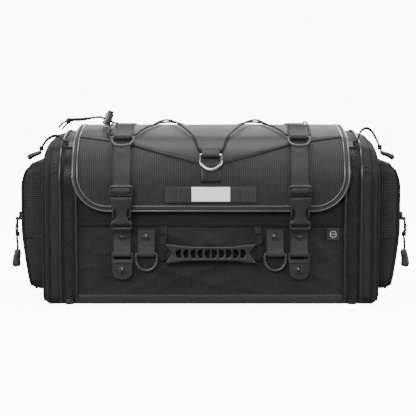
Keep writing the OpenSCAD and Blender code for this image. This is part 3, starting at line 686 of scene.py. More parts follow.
area("light_top", (0.0, 0.1, 1.9), (0, 0.0, 0.1), (2.0, 1.1), 52, (1.0, 0.985, 0.96))
area("light_front", (-0.6, -2.3, 1.3), (0, 0, 0.12), (1.3, 0.9), 56)
area("light_right", (1.9, -0.9, 0.8), (0.1, 0, 0.12), (0.6, 1.2), 30)
area("light_left", (-1.9, -0.9, 0.8), (-0.1, 0, 0.12), (0.6, 1.2), 26)
area("light_back", (0.3, 1.9, 1.0), (0, 0, 0.15), (1.8, 0.8), 16)
world = bpy.data.worlds.new("studio")
world.use_nodes = True
world.node_tree.nodes["Background"].inputs[0].default_value = (1, 1, 1, 1)
world.node_tree.nodes["Background"].inputs[1].default_value = 0.44
bpy.context.scene.world = world

floor_mat = Graph("floor", rough=0.7, spec=0.2)
tone = floor_mat.noise(floor_mat.obj, 3.0, 4.0)
floor_mat.bsdf.inputs["Emission Color"].default_value = (1, 1, 1, 1)
floor_mat.bsdf.inputs["Emission Strength"].default_value = 10.0
floor_mat = floor_mat.finish(floor_mat.ramp(tone, [(0.0, grey(0.86)), (1.0, grey(0.89))]))
turns = full_turn(96)
bowl = [(r * math.cos(t), r * math.sin(t), z) for r, z in ((1, -0.4), (900, -0.4), (5500, -0.4), (6000, 40),
    (6300, 200), (6450, 600), (6500, 1500)) for t in turns]
floor = build("floor", np.array(bowl), lattice(7, 96, closed_v=True), floor_mat)
floor.visible_diffuse = False
floor.visible_glossy = False

# ---- lines and surfaces shared by the pieces ---------------------------------------------------
BAR_Y = -HD - 4.6
BAR_Z = 74.0
WEB = 12.5
YOKE = 1.0
WEB_T = 2.0
STRAP_A = 60
CENTRE_A = 33
SIDES = (("left", -1), ("right", 1))


def section(n):
    """The bag's closed section from the front's foot over the top: n points and their outward directions."""
    c = BASE_H
    deg = np.radians(np.linspace(-90, 0, 25))
    pts = [(-HD + c - c * math.cos(t), c + c * math.sin(t)) for t in deg]
    pts += [arch(a, 0) for a in np.linspace(0, 180, 400)]
    pts += [(HD - c + c * math.cos(t), c + c * math.sin(t)) for t in deg[::-1]]
    p = resample(pts, n, closed=True)
    t = np.roll(p, -1, 0) - np.roll(p, 1, 0)
    t /= np.linalg.norm(t, axis=1)[:, None]
    return p, np.stack([-t[:, 1], t[:, 0]], 1)


LOOP, LOOP_N = section(240)


def hoop(x, off, low=0.0):
    """A closed line round the bag at x, off outside its section, never lower than low."""
    return [(x, p[0] + n[0] * off, max(low, p[1] + n[1] * off)) for p, n in zip(LOOP, LOOP_N)]


def skin_pt(a, off):
    """(y, z) on the flap's outer face at the surface direction a."""
    return arch(a, LID_OUT + off)


def strip(name, yz, x, half, thick, mat, wave=0.0, seed=0.0, n=None):
    """Webbing of constant x that follows a line of (y, z) points."""
    p = np.array(yz, float)
    if n:
        p = smooth_path(np.column_stack([p, np.zeros(len(p))]), n)[:, :2]
    t = np.gradient(p, axis=0)
    t /= np.linalg.norm(t, axis=1)[:, None] + 1e-9
    pts = np.column_stack([np.full(len(p), x), p])
    up = np.column_stack([np.zeros(len(p)), -t[:, 1], t[:, 0]])
    return band(name, pts, (1, 0, 0), up, half, thick, mat, wave, seed)


def flap_rim(inset, off, n=260):
    """The flap's edge from its back left corner, round the front and up again, inset and off its face."""
    hw, r, low = LID_HW - inset, FLAP_R - inset, FLAP_Z - SHOULDER_Z + inset
    cx, cs = LID_HW - FLAP_R, FLAP_Z - SHOULDER_Z + FLAP_R
    back = S_TOTAL + SHOULDER_Z - LID_REAR_Z
    flat = [(-hw, s) for s in np.linspace(back, cs, 120)]
    flat += [(-cx - r * math.cos(t), cs - r * math.sin(t)) for t in np.linspace(0, math.pi / 2, 24)]
    flat += [(x, low) for x in np.linspace(-cx, cx, 60)]
    flat += [(cx + r * math.sin(t), cs - r * math.cos(t)) for t in np.linspace(0, math.pi / 2, 24)]
    flat += [(hw, s) for s in np.linspace(cs, back, 120)]
    flat = resample(flat, n)
    return [(x, *wrap(s, LID_OUT + off)) for x, s in flat]


def box_stitch(x0, x1, z0, z1, y, cross=True):
    """Lines of a sewn box, with its cross, on a face towards -Y."""
    out = [[(x0, y, z0), (x1, y, z0), (x1, y, z1), (x0, y, z1), (x0, y, z0)]]
    if cross:
        out += [[(x0, y, z0), (x1, y, z1)], [(x0, y, z1), (x1, y, z0)]]
    return out


def mixed(t, w=0.12):
    """0 at the ends of t from 0 to 1, and 1 inside."""
    return min(1.0, min(t, 1 - t) / w) ** 0.6 if 0 < t < 1 else 0.0


# ---- body --------------------------------------------------------------------------------------
BX = HB - 0.6


def base_line():
    c = BASE_H
    deg = np.radians(np.linspace(0, -90, 8))
    out = [(HD - c + c * math.cos(t), c + c * math.sin(t)) for t in deg]
    out += [(y, 0.0) for y in np.linspace(HD - c, -HD + c, 40)[1:-1]]
    return out + [(-HD + c - c * math.cos(t), c + c * math.sin(t)) for t in deg[::-1]]


BASE_LINE = base_line()
xs = np.linspace(-BX, BX, 90)


def base_pt(x, k, d):
    y, z = BASE_LINE[k]
    w = 0.35 * wob(x, y, z, 46, 2.0) if 0.2 < z else 0.0
    inward = np.array([-y, 60 - z]) / math.hypot(y, 60 - z)
    return x, y + inward[0] * (d + 0.3 + w), z + (inward[1] * (d + 0.3 + w) if z > 0.2 else d)


ks = range(len(BASE_LINE))
put(slab("base_skin", grid(xs, ks, lambda x, k: base_pt(x, k, 0.0)), grid(xs, ks, lambda x,
    k: base_pt(x, k, 2.2)), M["base"], lining=M["lining"]), "bag", "base_panel")


def front_y(x, z):
    """The front cloth: drawn in at its seams, a little full between them, with soft creases."""
    t = mixed((x + HB) / (2 * HB), 0.05) * mixed((z - BASE_H) / (SEAM_Z - BASE_H), 0.14)
    crease = 1.0 * wob(x, 0, z, 74, 4.0) + 0.9 * fold(x + 0.9 * z, 0, z * 0.8, 58, 7.0) ** 2
    crease += 0.7 * fold(x - 0.7 * z, 9, z * 1.3, 41, 3.0) ** 3
    return -HD + 0.7 - t * (0.7 + 1.7 * crease - 1.5)


zs = np.linspace(BASE_H - 0.8, SEAM_Z + 0.4, 46)
xs = np.linspace(-BX, BX, 130)
put(slab("front_skin", grid(xs, zs, lambda x, z: (x, front_y(x, z), z)),
    grid(xs, zs, lambda x, z: (x, -HD + 2.4, z)), M["rib"], lining=M["lining"]), "bag",
    "front_panel")
zs = np.linspace(SEAM_Z - 0.4, SHOULDER_Z, 26)
put(slab("front_band_skin", grid(xs, zs, lambda x, z: (x, -HD + 0.5 - 0.5 * wob(x, 0, z, 40, 3.0), z)),
    grid(xs, zs, lambda x, z: (x, -HD + 2.4, z)), M["smooth"], lining=M["lining"]), "bag",
    "front_band")


def back_y(x, z):
    t = mixed((x + HB) / (2 * HB), 0.05) * mixed((z - BASE_H) / (SHOULDER_Z - BASE_H), 0.1)
    return HD - 0.7 + t * (1.0 + 0.8 * wob(x, 9, z, 70, 9.0) + 0.3 * fold(x, 2, z, 52, 5.0))


zs = np.linspace(SHOULDER_Z, BASE_H - 0.8, 60)
put(slab("back_skin", grid(xs, zs, lambda x, z: (x, back_y(x, z), z)),
    grid(xs, zs, lambda x, z: (x, HD - 2.4, z)), M["rib"], lining=M["lining"]), "bag",
    "back_panel")

# the collar under the flap, open over the main compartment
ss = np.linspace(0, S_TOTAL, 90)
cx = np.linspace(-BX, BX, 61)
mouth = [abs(0.5 * (cx[i] + cx[i + 1])) < HB - 30 for i in range(60)]


def collar_pt(x, s, off):
    y, z = wrap(s, 0.0)
    n = normal(s)
    return x, y + n[0] * off, z + n[1] * off


def collar_keep(i, j):
    y = wrap(0.5 * (ss[j] + ss[j + 1]), 0.0)[0]
    return not (mouth[i] and abs(y) < SHOULDER_Y)


put(slab("collar_skin", grid(cx, ss, lambda x, s: collar_pt(x, s, -0.3 + 0.25 * wob(x, s, 0, 40, 1.0))),
    grid(cx, ss, lambda x, s: collar_pt(x, s, -2.4)), M["smooth"], lining=M["lining"], keep=collar_keep),
    "bag", "top_collar")
# seams on the front, base and back: a rolled edge with two rows of thread
BACK_SEAM_Z = 104.0
seams = [tube("seam", [(x, -HD + 0.2, BASE_H + 0.4) for x in np.linspace(-BX, BX, 90)], 1.3, M["base"], 8),
    tube("seam", [(x, HD - 0.2, BASE_H + 0.4) for x in np.linspace(-BX, BX, 90)], 1.3, M["base"], 8)]
put(join("base_seam", seams), "bag")
seams = [tube("seam", [(x, -HD - 0.1 + 0.2 * wob(x, 0, 0, 30, 1), SEAM_Z + 0.6)
    for x in np.linspace(-BX, BX, 110)], 1.2, M["smooth"], 8), tube("seam",
    [(x, HD + 0.1, BACK_SEAM_Z) for x in np.linspace(-BX, BX, 90)], 1.1, M["smooth"], 8)]
put(join("panel_seams", seams), "bag")
rows = [[(x, front_y(x, z) - 0.25, z) for x in np.linspace(-HB + 4, HB - 4, 200)]
    for z in (BASE_H + 4.5, SEAM_Z - 3.5)]
rows += [[(x, -HD + 0.1, z) for x in np.linspace(-HB + 4, HB - 4, 160)] for z in (SEAM_Z + 3.6, BASE_H - 3.0)]
rows += [[(x, back_y(x, z) + 0.25, z) for x in np.linspace(-HB + 4, HB - 4, 160)]
    for z in (BASE_H + 4.5, BACK_SEAM_Z - 4, BACK_SEAM_Z + 4)]
put(stitches("body_stitches", rows, M["thread_dark"], 3.4, 2.5, 0.36), "bag")

# ---- piping, zips, gussets and end boxes -------------------------------------------------------


def welt(name, x, r):
    pts = []
    for p, n in zip(LOOP, LOOP_N):
        off = 0.9 * (1 - max(0.0, -n[1])) - (r + 0.4) * max(0.0, -n[1])
        pts.append((x, p[0] + n[0] * off, max(r + 0.05, p[1] + n[1] * off)))
    return tube(name, pts, r, M["welt"], 12, closed=True)


put(join("body_welts", [welt("welt", s * HB, 1.9) for _, s in SIDES]), "bag", "body_piping")


def teeth(name, x0, x1, phase, pitch=2.5):
    """A row of zip teeth round the bag, each a small rounded block across X."""
    p = np.array(hoop(0, 0.35, 0.35))
    s = run_of(np.vstack([p, p[:1]]))
    q = np.vstack([p, p[:1]])
    m = np.array(LOOP_N.tolist() + [LOOP_N[0].tolist()])
    verts, faces = [], []
    for k in range(int(s[-1] / pitch)):
        c = (k + phase) * pitch
        y, z = np.interp(c, s, q[:, 1]), np.interp(c, s, q[:, 2])
        n = np.array([np.interp(c, s, m[:, 0]), np.interp(c, s, m[:, 1])])
        n /= np.linalg.norm(n)
        t = np.array([n[1], -n[0]])
        first = len(verts)
        for x, g in ((x0, 0.8), (0.5 * (x0 + x1), 1.0), (x1, 0.75)):
            for u, v in ((-0.62, -0.7), (0.62, -0.7), (0.62, 0.35), (0.3, 0.75), (-0.3, 0.75), (-0.62, 0.35)):
                verts.append((x, y + t[0] * u * g + n[0] * v * g, z + t[1] * u * g + n[1] * v * g))
        faces += lattice(3, 6, first, closed_v=True)
        faces += [[first + i for i in range(6)][::-1], [first + 12 + i for i in range(6)]]
    return tidy(build(name, verts, faces, M["coil"], smooth=False))


def loop_band(name, xa, xb, off, thick, mat, nx=8, ripple=0.0, seed=0.0):
    """A flat ring of cloth round the bag from xa to xb."""
    verts, coat = [], []
    run = run_of(LOOP)
    xl = np.linspace(xa, xb, nx)
    rows = [(x, 0.0) for x in xl] + [(x, -thick) for x in xl[::-1]]
    for k, (p, n) in enumerate(zip(LOOP, LOOP_N)):
        for x, d in rows:
            o = off + d + ripple * wob(x * 2, run[k], 0, 26, seed)
            o = min(o, -0.15) if n[1] < -0.5 else o
            verts.append((x, p[0] + n[0] * o, max(0.12 - d, p[1] + n[1] * o)))
            coat.append((x, run[k]))
    return tidy(build(name, verts, lattice(len(LOOP), len(rows), closed_u=True, closed_v=True), mat, coat))


ZX = 0.5 * (HB + END_X0)
for side, s in SIDES:
    put(join(f"{side}_body_zip", [loop_band("tape", s * (HB + 0.5), s * (ZX - 1.0), -0.3, 1.2, M["zip"]),
        teeth("teeth", s * (ZX - 5.6), s * (ZX + 0.6), 0.0)]), "bag")
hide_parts("zip_tapes")
put(stitches("zip_stitches", [hoop(s * (HB + 4.5), -0.05, 0.4) + [hoop(s * (HB + 4.5), -0.05, 0.4)[0]] for _,
    s in SIDES], M["thread_dark"], 3.0, 2.2, 0.3), "bag")


def gusset(name, s, folds=6):
    """Pleated cloth that is folded behind the zip, between the body and the end box."""
    n = 8 * folds + 1
    verts, faces = [], []
    xa, xb = HB + 2.5, END_X0 - 2.5
    prof = []
    for i in range(n):
        t = i / (n - 1)
        prof.append((xa + (xb - xa) * t, -7.6 - 3.9 * math.cos(2 * math.pi * folds * t)))
    for p, m in zip(LOOP, LOOP_N):
        for d in (0.0, -0.7):
            row = prof if d == 0 else prof[::-1]
            for x, o in row:
                o += d
                verts.append((s * x, p[0] + m[0] * o, p[1] + m[1] * o))
    faces = lattice(len(LOOP), 2 * n, closed_u=True, closed_v=True)
    ob = tidy(build(name, verts, faces, M["smooth"]))
    return ob


def slump(x, n):
    """How far the cloth of an end box sinks at its top, away from the zip."""
    t = min(1.0, max(0.0, (abs(x) - END_X0) / (END_X1 - END_X0)))
    return -9.0 * t ** 0.8 * max(0.0, n[1]) ** 1.5


def box_hoop(x, off, low):
    return [(x, p[0] + n[0] * (off + slump(x, n)), max(low, p[1] + n[1] * (off + slump(x, n)))) for p,
        n in zip(LOOP, LOOP_N)]


def end_box(side, s):
    """The end box: cloth over foam, drawn in at its outer seam and full on its end face."""
    cx_, cz = 0.0, 118.0
    rings = []
    depth = END_X1 - END_X0
    for t, o in ((0.0, -0.2), (0.03, 0.3), (0.1, 0.1), (0.22, 0.5), (0.38, 0.7), (0.5, 0.2), (0.56, -0.6),
            (0.62, -0.5), (0.72, -1.6), (0.82, -3.6), (0.9, -6.2), (0.96, -9.0), (0.995, -12.0)):
        rings.append((END_X0 + depth * t, o, 1.0))
    for k in (0.93, 0.86, 0.78, 0.66, 0.5, 0.38, 0.28):
        rings.append((END_X1 - 0.4 - 0.6 * math.sin(math.pi * k), -12.0, k))
    verts, nl = [], len(LOOP)
    for x, o, k in rings:
        for p, n in zip(LOOP, LOOP_N):
            w = (0.55 * wob(x, p[0], p[1], 34, 3.0 + s) + 0.5 * fold(x * 2.2, p[0], p[1], 30,
                5.0 + s)) * mixed((x - END_X0) / depth, 0.2)
            o2 = o + slump(x, n) + (w if n[1] > -0.5 else 0.0)
            o2 = min(o2, -0.1) if n[1] < -0.5 else o2
            y, z = p[0] + n[0] * o2, p[1] + n[1] * o2
            if k < 1:
                y, z = cx_ + (y - cx_) * k, cz + (z - cz) * k
            verts.append((s * x, y, z))
    m = len(rings)
    faces = lattice(m, nl, closed_v=True, flip=s > 0)
    cap = [(m - 1) * nl + k for k in range(nl)]
    faces.append(cap if s < 0 else cap[::-1])
    ob = tidy(build(f"{side}_end_skin", verts, faces, M["rib_end"]))
    me = ob.data
    centre = sum((v.co for v in me.vertices), Vector()) / len(me.vertices)
    f = me.polygons[len(me.polygons) // 3]
    if (f.center - centre).dot(f.normal) < 0:
        me.flip_normals()
    thick = ob.modifiers.new("cloth", "SOLIDIFY")
    thick.thickness = 2.2 * MM
    thick.offset = -1
    put(ob, f"{side}_end", f"{side}_end_shell")
    # the seams and the second zip line round the box
    seam = [(END_X0 + depth * 0.56, 0.55), (END_X0 + depth * 0.9, -5.2)]
    made = [tube("seam", box_hoop(s * x, o - 0.2, 1.1), 1.05, M["smooth"], 8, closed=True) for x, o in seam]
    put(join(f"{side}_end_seams", made), f"{side}_end")
    rows = [box_hoop(s * (END_X0 + depth * t), o, 0.3) for t, o in ((0.13, 0.75), (0.47, 0.85), (0.65, 0.1))]
    put(stitches(f"{side}_end_stitches", [r + r[:1] for r in rows], M["thread_dark"], 3.2, 2.3, 0.32),
        f"{side}_end")
    put(welt(f"{side}_end_welt", s * END_X0, 1.9), f"{side}_end", f"{side}_end_piping")
    put(join(f"{side}_end_zip", [loop_band("tape", s * (ZX + 1.0), s * (END_X0 - 0.5), -0.3, 1.2, M["zip"]),
        teeth("teeth", s * (ZX - 0.6), s * (ZX + 5.6), 0.5)]), f"{side}_end", f"{side}_zip_tape")
    g = gusset(f"{side}_gusset_cloth", s)
    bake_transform(g)
    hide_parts(f"{side}_gusset")


for side, s in SIDES:
    end_box(side, s)

# ---- flap --------------------------------------------------------------------------------------
BACK_S = S_TOTAL + SHOULDER_Z - LID_REAR_Z
LOW_S = FLAP_Z - SHOULDER_Z


def flap_rows():
    deg = np.linspace(0, math.pi / 2, 20)
    rows = [LOW_S + FLAP_R * (1 - math.cos(t)) for t in deg]
    return rows + list(np.linspace(rows[-1], BACK_S, 96)[1:])


def flap_half(s):
    """Half the flap's width at the run s: less at its rounded front corners."""
    d = LOW_S + FLAP_R - s
    return LID_HW if d <= 0 else LID_HW - FLAP_R + math.sqrt(max(0.0, FLAP_R**2 - d**2))


def flap_off(x, s):
    """How far the flap's face stands off its mean: full on the crown, drawn in at its edges, creased."""
    edge = min(1.0, (LID_HW - abs(x)) / 22.0) * min(1.0, (s - LOW_S) / 18.0)
    top = math.exp(-(((s - 0.5 * S_TOTAL) / 120.0) ** 2))
    w = 0.45 * wob(x, s, 0, 58, 11.0) + 0.35 * fold(x * 0.7, s, 0, 50, 13.0) - 0.2
    under = 0.45 if abs(abs(x) - STRAP_X) < WEB + 5 else 1.0
    return -0.35 + edge * (w * under + 0.25 * top) - 0.5 * (1 - edge)


rows = flap_rows()
us = np.linspace(-1, 1, 141)
outer = [[(u * flap_half(s), *wrap(s, LID_OUT + flap_off(u * flap_half(s), s))) for s in rows] for u in us]
inner = [[(u * flap_half(s), *wrap(s, LID_IN + 0.4)) for s in rows] for u in us]
lid_skin = slab("lid_skin", outer, inner, M["rib_lid"], lining=M["lining"])
put(lid_skin, "lid", "lid_panel")

# the flap's bound edge: piping outside and inside a sewn tape; the piping's colour is lightened as a painted
# highlight
inner_line, outer_line = flap_rim(6.0, 0.55), flap_rim(1.6, 0.55)
mid_line = flap_rim(3.8, 0.95)
verts, coat = [], []
run = run_of(mid_line)
under = [flap_rim(6.0, -0.6), flap_rim(1.6, -0.6)]
for k in range(len(mid_line)):
    for j, q in enumerate((outer_line[k], mid_line[k], inner_line[k], under[0][k], under[1][k])):
        verts.append(q)
        coat.append(((2.2, 0, -2.2, -2.2, 2.2)[j], run[k]))
faces = lattice(len(mid_line), 5, closed_v=True) + [[4, 3, 2, 1, 0], [(len(mid_line) - 1) * 5 + j
    for j in range(5)]]
put(tidy(build("flap_tape", verts, faces, M["binding"], coat)), "lid", "lid_binding")
put(join("flap_welts", [tube("welt", flap_rim(0.7, -0.5), 1.6, M["flap_welt_painted_highlight"], 12),
    tube("welt", flap_rim(7.0, 0.35), 1.2, M["flap_welt_painted_highlight"], 12)]), "lid")
put(stitches("flap_stitches", [flap_rim(3.8, 1.15), flap_rim(10.2, 0.0)], M["thread"], 3.0, 2.1, 0.3), "lid")
put(tube("flap_underside_edge", flap_rim(3.0, -6.6), 1.5, M["binding"], 8), "lid")

# the coated yoke over the crown, and its seam
YX = [0, 13.6, 14.6, 19, 63, 108, 142, 189]
YZ = [175.2, 175.2, 201.6, 203, 214, 226, 232, 238]
Z_S = [(wrap(s, LID_OUT)[1], s) for s in np.linspace(-6, 0.5 * S_TOTAL, 400)]


def s_of(z):
    return float(np.interp(z, [q[0] for q in Z_S], [q[1] for q in Z_S]))


def yoke_low(x):
    return s_of(np.interp(abs(x), YX, YZ))


def yoke_off(x, s):
    return LID_OUT + flap_off(x, s) + 1.15


xs = np.unique(np.concatenate([np.linspace(-189, 189, 120), [-14.6, -13.6, 13.6, 14.6]]))
ts = np.linspace(0, 1, 70)
outer = [[(x, *wrap(yoke_low(x) * (1 - t) + (S_TOTAL - 1) * t, yoke_off(x,
    yoke_low(x) * (1 - t) + S_TOTAL * t))) for t in ts] for x in xs]
inner = [[(x, *wrap(yoke_low(x) * (1 - t) + (S_TOTAL - 1) * t, yoke_off(x,
    yoke_low(x) * (1 - t) + S_TOTAL * t) - 1.3)) for t in ts] for x in xs]
put(slab("yoke_skin", outer, inner, M["pvc"]), "lid", "lid_yoke")
half = [(x, yoke_low(x)) for x in np.linspace(16.5, 189, 90)]
lines = [[(g * x, *wrap(s, yoke_off(x, s) + 0.1)) for x, s in half] for g in (-1, 1)]
put(join("yoke_seam", [tube("seam", q, 0.8, M["pvc"], 8) for q in lines]), "lid")
rows = [[(g * x, *wrap(s + d, yoke_off(x, s + d) + 0.1)) for x, s in half] for g in (-1, 1)
    for d in (3.2, 6.4)]
put(stitches("yoke_stitches", rows, M["thread_dark"], 3.0, 2.2, 0.3), "lid")

# two rows of stitches across the back where the flap is sewn to the body
put(stitches("hinge_stitches", [[(x, *wrap(BACK_S - d, LID_OUT + 0.1)) for x in np.linspace(-185, 185, 200)]
    for d in (5.0, 11.0)], M["thread_dark"], 3.4, 2.5, 0.36), "lid")

# ---- webbing on the flap -----------------------------------------------------------------------
for side, s in SIDES:
    x = s * STRAP_X
    front = [(-HD - 15.4, 165.2), (-HD - 14.6, 168.0), (-HD - 12.9, 172.0), (-HD - LID_OUT - 2.2, 175.8)]
    line = front + [wrap(r, LID_OUT + 2.15) for r in np.linspace(4, BACK_S - 1, 150)]
    put(strip(f"{side}_strap", line, x, WEB, 1.75, M["web"], wave=0.25, seed=2.0 + s), "lid")
    base = YOKE + WEB_T
    fold_line = [skin_pt(81.5, base + 1.1), skin_pt(80.6, base + 4.6), skin_pt(79.8, base + 6.6),
        skin_pt(79, base + 6.2), skin_pt(78.4, base + 4.0), skin_pt(77, base + 2.4), skin_pt(75, base + 2.3),
        skin_pt(73.4, base + 2.6)]
    put(strip(f"{side}_strap_fold", fold_line, x, WEB - 0.2, 1.3, M["web"], n=40, seed=1.0), "lid")
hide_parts("straps")
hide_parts("strap_folds")


def ring_loop(name, x, a, base, half):
    """A sewn loop that turns round a ring's bar, with a tunnel for the cord above it."""
    b = 4.5 + base
    line = [skin_pt(a + 12.6, base + 1.0), skin_pt(a + 11.6, base + 2.6), skin_pt(a + 9.6, base + 4.6),
        skin_pt(a + 7.6, base + 5.2), skin_pt(a + 5.4, base + 5.4), skin_pt(a + 3.2, b + 2.2)]
    c = skin_pt(a, b)
    up = math.radians(a)
    out = np.array([-math.cos(up), math.sin(up)])
    fwd = np.array([-math.sin(up), -math.cos(up)])
    for deg in (80, 40, 0, -40, -80):
        t = math.radians(deg)
        line.append(tuple(np.array(c) + 3.15 * (math.sin(t) * out + math.cos(t) * fwd)))
    line += [skin_pt(a + 4, base + 0.95), skin_pt(a + 9, base + 0.9)]
    return strip(name, line, x, half, 1.3, M["web"], n=90)


loops = [ring_loop("loop", s * STRAP_X, STRAP_A, YOKE + WEB_T + 0.1, WEB) for _, s in SIDES]
loops.append(ring_loop("loop", 0.0, CENTRE_A, YOKE + 0.1, WEB))
put(join("ring_loop_webs", loops), "lid", "ring_loops")
loops = []
for x, base in ((-STRAP_X, YOKE + WEB_T), (0.0, YOKE), (STRAP_X, YOKE + WEB_T)):
    line = [skin_pt(126.5, base + 0.9), skin_pt(129.5, base + 1.8), skin_pt(132, base + 4.6),
        skin_pt(134, base + 5.1), skin_pt(136, base + 4.6), skin_pt(138.5, base + 1.8),
        skin_pt(141.5, base + 0.9)]
    loops.append(strip("loop", line, x, WEB, 1.2, M["web"], n=50))
put(join("rear_loop_webs", loops), "lid", "rear_loops")

# the small tab of the yoke's point under the centre ring
line = [wrap(s_of(z), LID_OUT + 1.5) for z in np.linspace(178, 199, 14)]
line = [(line[0][0] + 1.2, line[0][1] - 0.3)] + line
put(strip("centre_tab", line, 0.0, WEB - 3.2, 1.2, M["binding"]), "lid")
rows = []
for z in (183.0, 186.0):
    y, zz = wrap(s_of(z), LID_OUT + 2.2)
    rows.append([(x, y, zz) for x in np.linspace(-9.5, 9.5, 12)])
put(stitches("centre_tab_stitches", rows, M["thread_dark"], 2.6, 1.9, 0.34), "lid")

# strap stitching: boxes above the ring loops and on the folds
rows = []
for _, s in SIDES:
    p, q = skin_pt(75, 6.6), skin_pt(77.6, 6.6)
    x0, x1 = s * STRAP_X - 9.5, s * STRAP_X + 9.5
    rows += [[(x0, *p), (x1, *p)], [(x0, *q), (x1, *q)], [(x0, *p), (x0, *q)], [(x1, *p), (x1, *q)]]
put(stitches("strap_stitches", rows, M["thread"], 2.4, 1.8, 0.32), "lid")

# attachment strip with the blank label
Y_STRIP = -HD - LID_OUT
pts = [(x, Y_STRIP - 1.1 - 0.9 * abs(math.sin(math.pi * (x + 64) / 18.3)) ** 2 * (abs(x) > 28), 158.5)
    for x in np.linspace(-64, 64, 120)]
put(band("daisy_web", pts, (0, 0, 1), (0, -1, 0), 11.4, 1.5, M["web"]), "lid", "daisy_strip")
rows = []
for k in range(8):
    x = -64 + 18.3 * k
    if abs(x) > 28:
        g = min(1, max(-1, x / 64)) * 1.6 * (abs(x) > 60)
        rows += [[(x - g + d, Y_STRIP - 2.2, 148.2), (x - g + d, Y_STRIP - 2.2, 168.8)] for d in (-0.5, 0.5)]
put(stitches("daisy_tacks", rows, M["thread"], 1.5, 1.4, 0.42), "lid")
xs, zs = np.linspace(-27, 27, 30), np.linspace(149, 169.6, 14)


def label_y(x, z):
    return Y_STRIP - 2.35 - 0.35 * math.cos(x / 27 * 1.4) - 0.08 * wob(x, 0, z, 9, 2.0)


put(slab("blank_label", grid(xs, zs, lambda x, z: (x, label_y(x, z) - 0.6, z)),
    grid(xs, zs, lambda x, z: (x, label_y(x, z), z)), M["label"]), "lid", "label")
frame_line = [(x, label_y(x, z) - 0.7, z) for x, z in resample([(-25.6, 150.4), (25.6, 150.4), (25.6, 168.2),
    (-25.6, 168.2), (-25.6, 150.4)], 120)]
put(stitches("label_stitches", [frame_line], M["label"], 2.2, 1.6, 0.24), "lid")

# ---- tabs, rivets and tag on the front ---------------------------------------------------------


def front_tab(name, x, top):
    """Webbing sewn down at its top and turned round a bar at its foot."""
    line = [(-HD - 2.3, top), (-HD - 2.5, top - 8), (-HD - 2.6, BAR_Z + 14), (-HD - 3.6, BAR_Z + 9),
        (-HD - 7.2, BAR_Z + 3.6), (BAR_Y - 3.35, BAR_Z), (BAR_Y - 2.4, BAR_Z - 2.5), (BAR_Y, BAR_Z - 3.4),
        (BAR_Y + 2.5, BAR_Z - 2.4), (BAR_Y + 3.3, BAR_Z), (BAR_Y + 3.7, BAR_Z + 4), (-HD - 0.9, BAR_Z + 10),
        (-HD - 0.9, top - 1)]
    return strip(name, line, x, WEB, 1.35, M["web"], n=110)


tabs = []
rows = []
for side, s in SIDES:
    tabs.append(front_tab("tab", s * RING_X, 108.5))
    tabs.append(front_tab("tab", s * STRAP_X, 106.5))
    line = [(-HD - 3.6, 98.0), (-HD - 4.1, 102.0), (-HD - 6.5, 106.5), (-HD - 12.0, 112.0),
        (-HD - 17.6, 115.2), (-HD - 20.8, 117.6), (-HD - 20.2, 119.6), (-HD - 16.6, 118.6),
        (-HD - 12.2, 114.4), (-HD - 7.6, 109.0)]
    tabs.append(strip("tab", line, s * STRAP_X, WEB - 0.3, 1.35, M["web"], n=70))
    for x, z0, z1, y in ((s * RING_X, 90, 105.5, -HD - 3.35), (s * STRAP_X, 84.5, 96.5, -HD - 3.5)):
        rows += box_stitch(x - 9.6, x + 9.6, z0, z1, y, cross=False)
put(join("front_tabs", tabs), "bag", "webbing_tabs")
rows += [[(s * h + d, -HD - 3.5, z) for d in (-9.6, 9.6)] for s in (-1, 1) for h in (RING_X, STRAP_X)
    for z in (86.5,)]
put(stitches("tab_stitches", rows, M["thread"], 2.5, 1.9, 0.33), "bag")
RIVET_Z = 98.2
RIVET = [(5.0, 0.0), (5.0, 0.5), (4.6, 0.95), (3.9, 1.25), (3.3, 1.35), (3.15, 1.2), (2.9, 1.15), (2.0, 1.75),
    (0.9, 2.05), (0.05, 2.1)]
made = [lathe("rivet", RIVET, M["rivet"], at(s * x, -HD - 3.1, RIVET_Z, rx=90)) for x in (RING_X, STRAP_X)
    for s in (-1, 1)]
put(join("cap_rivets", made), "bag", "rivets")
xs, zs = np.linspace(164, 182, 14), np.linspace(93, 111, 14)
put(slab("blank_tag", grid(xs, zs, lambda x, z: (x, -HD - 1.5 - 0.15 * wob(x, 0, z, 8, 1), z)),
    grid(xs, zs, lambda x, z: (x, -HD - 0.2, z)), M["binding"]), "bag", "woven_tag")
TAG_X, TAG_Z = 173.0, 102.0
rows = [[(TAG_X + 8.1 * i, -HD - 1.7, TAG_Z + 8.1 * k)
    for i, k in ((-1, -1), (1, -1), (1, 1), (-1, 1), (-1, -1))]]
put(stitches("tag_stitches", rows, M["thread"], 2.0, 1.4, 0.26), "bag")
rows = [[(TAG_X + 4.4 * math.sin(t), -HD - 1.75, TAG_Z + 4.4 * math.cos(t))
    for t in np.linspace(0, 2 * math.pi, 41)]]
rows.append([(TAG_X - 3.8, -HD - 1.75, TAG_Z), (TAG_X + 3.8, -HD - 1.75, TAG_Z)])
put(stitches("tag_motif", rows, M["label"], 0.9, 0.85, 0.3), "bag")

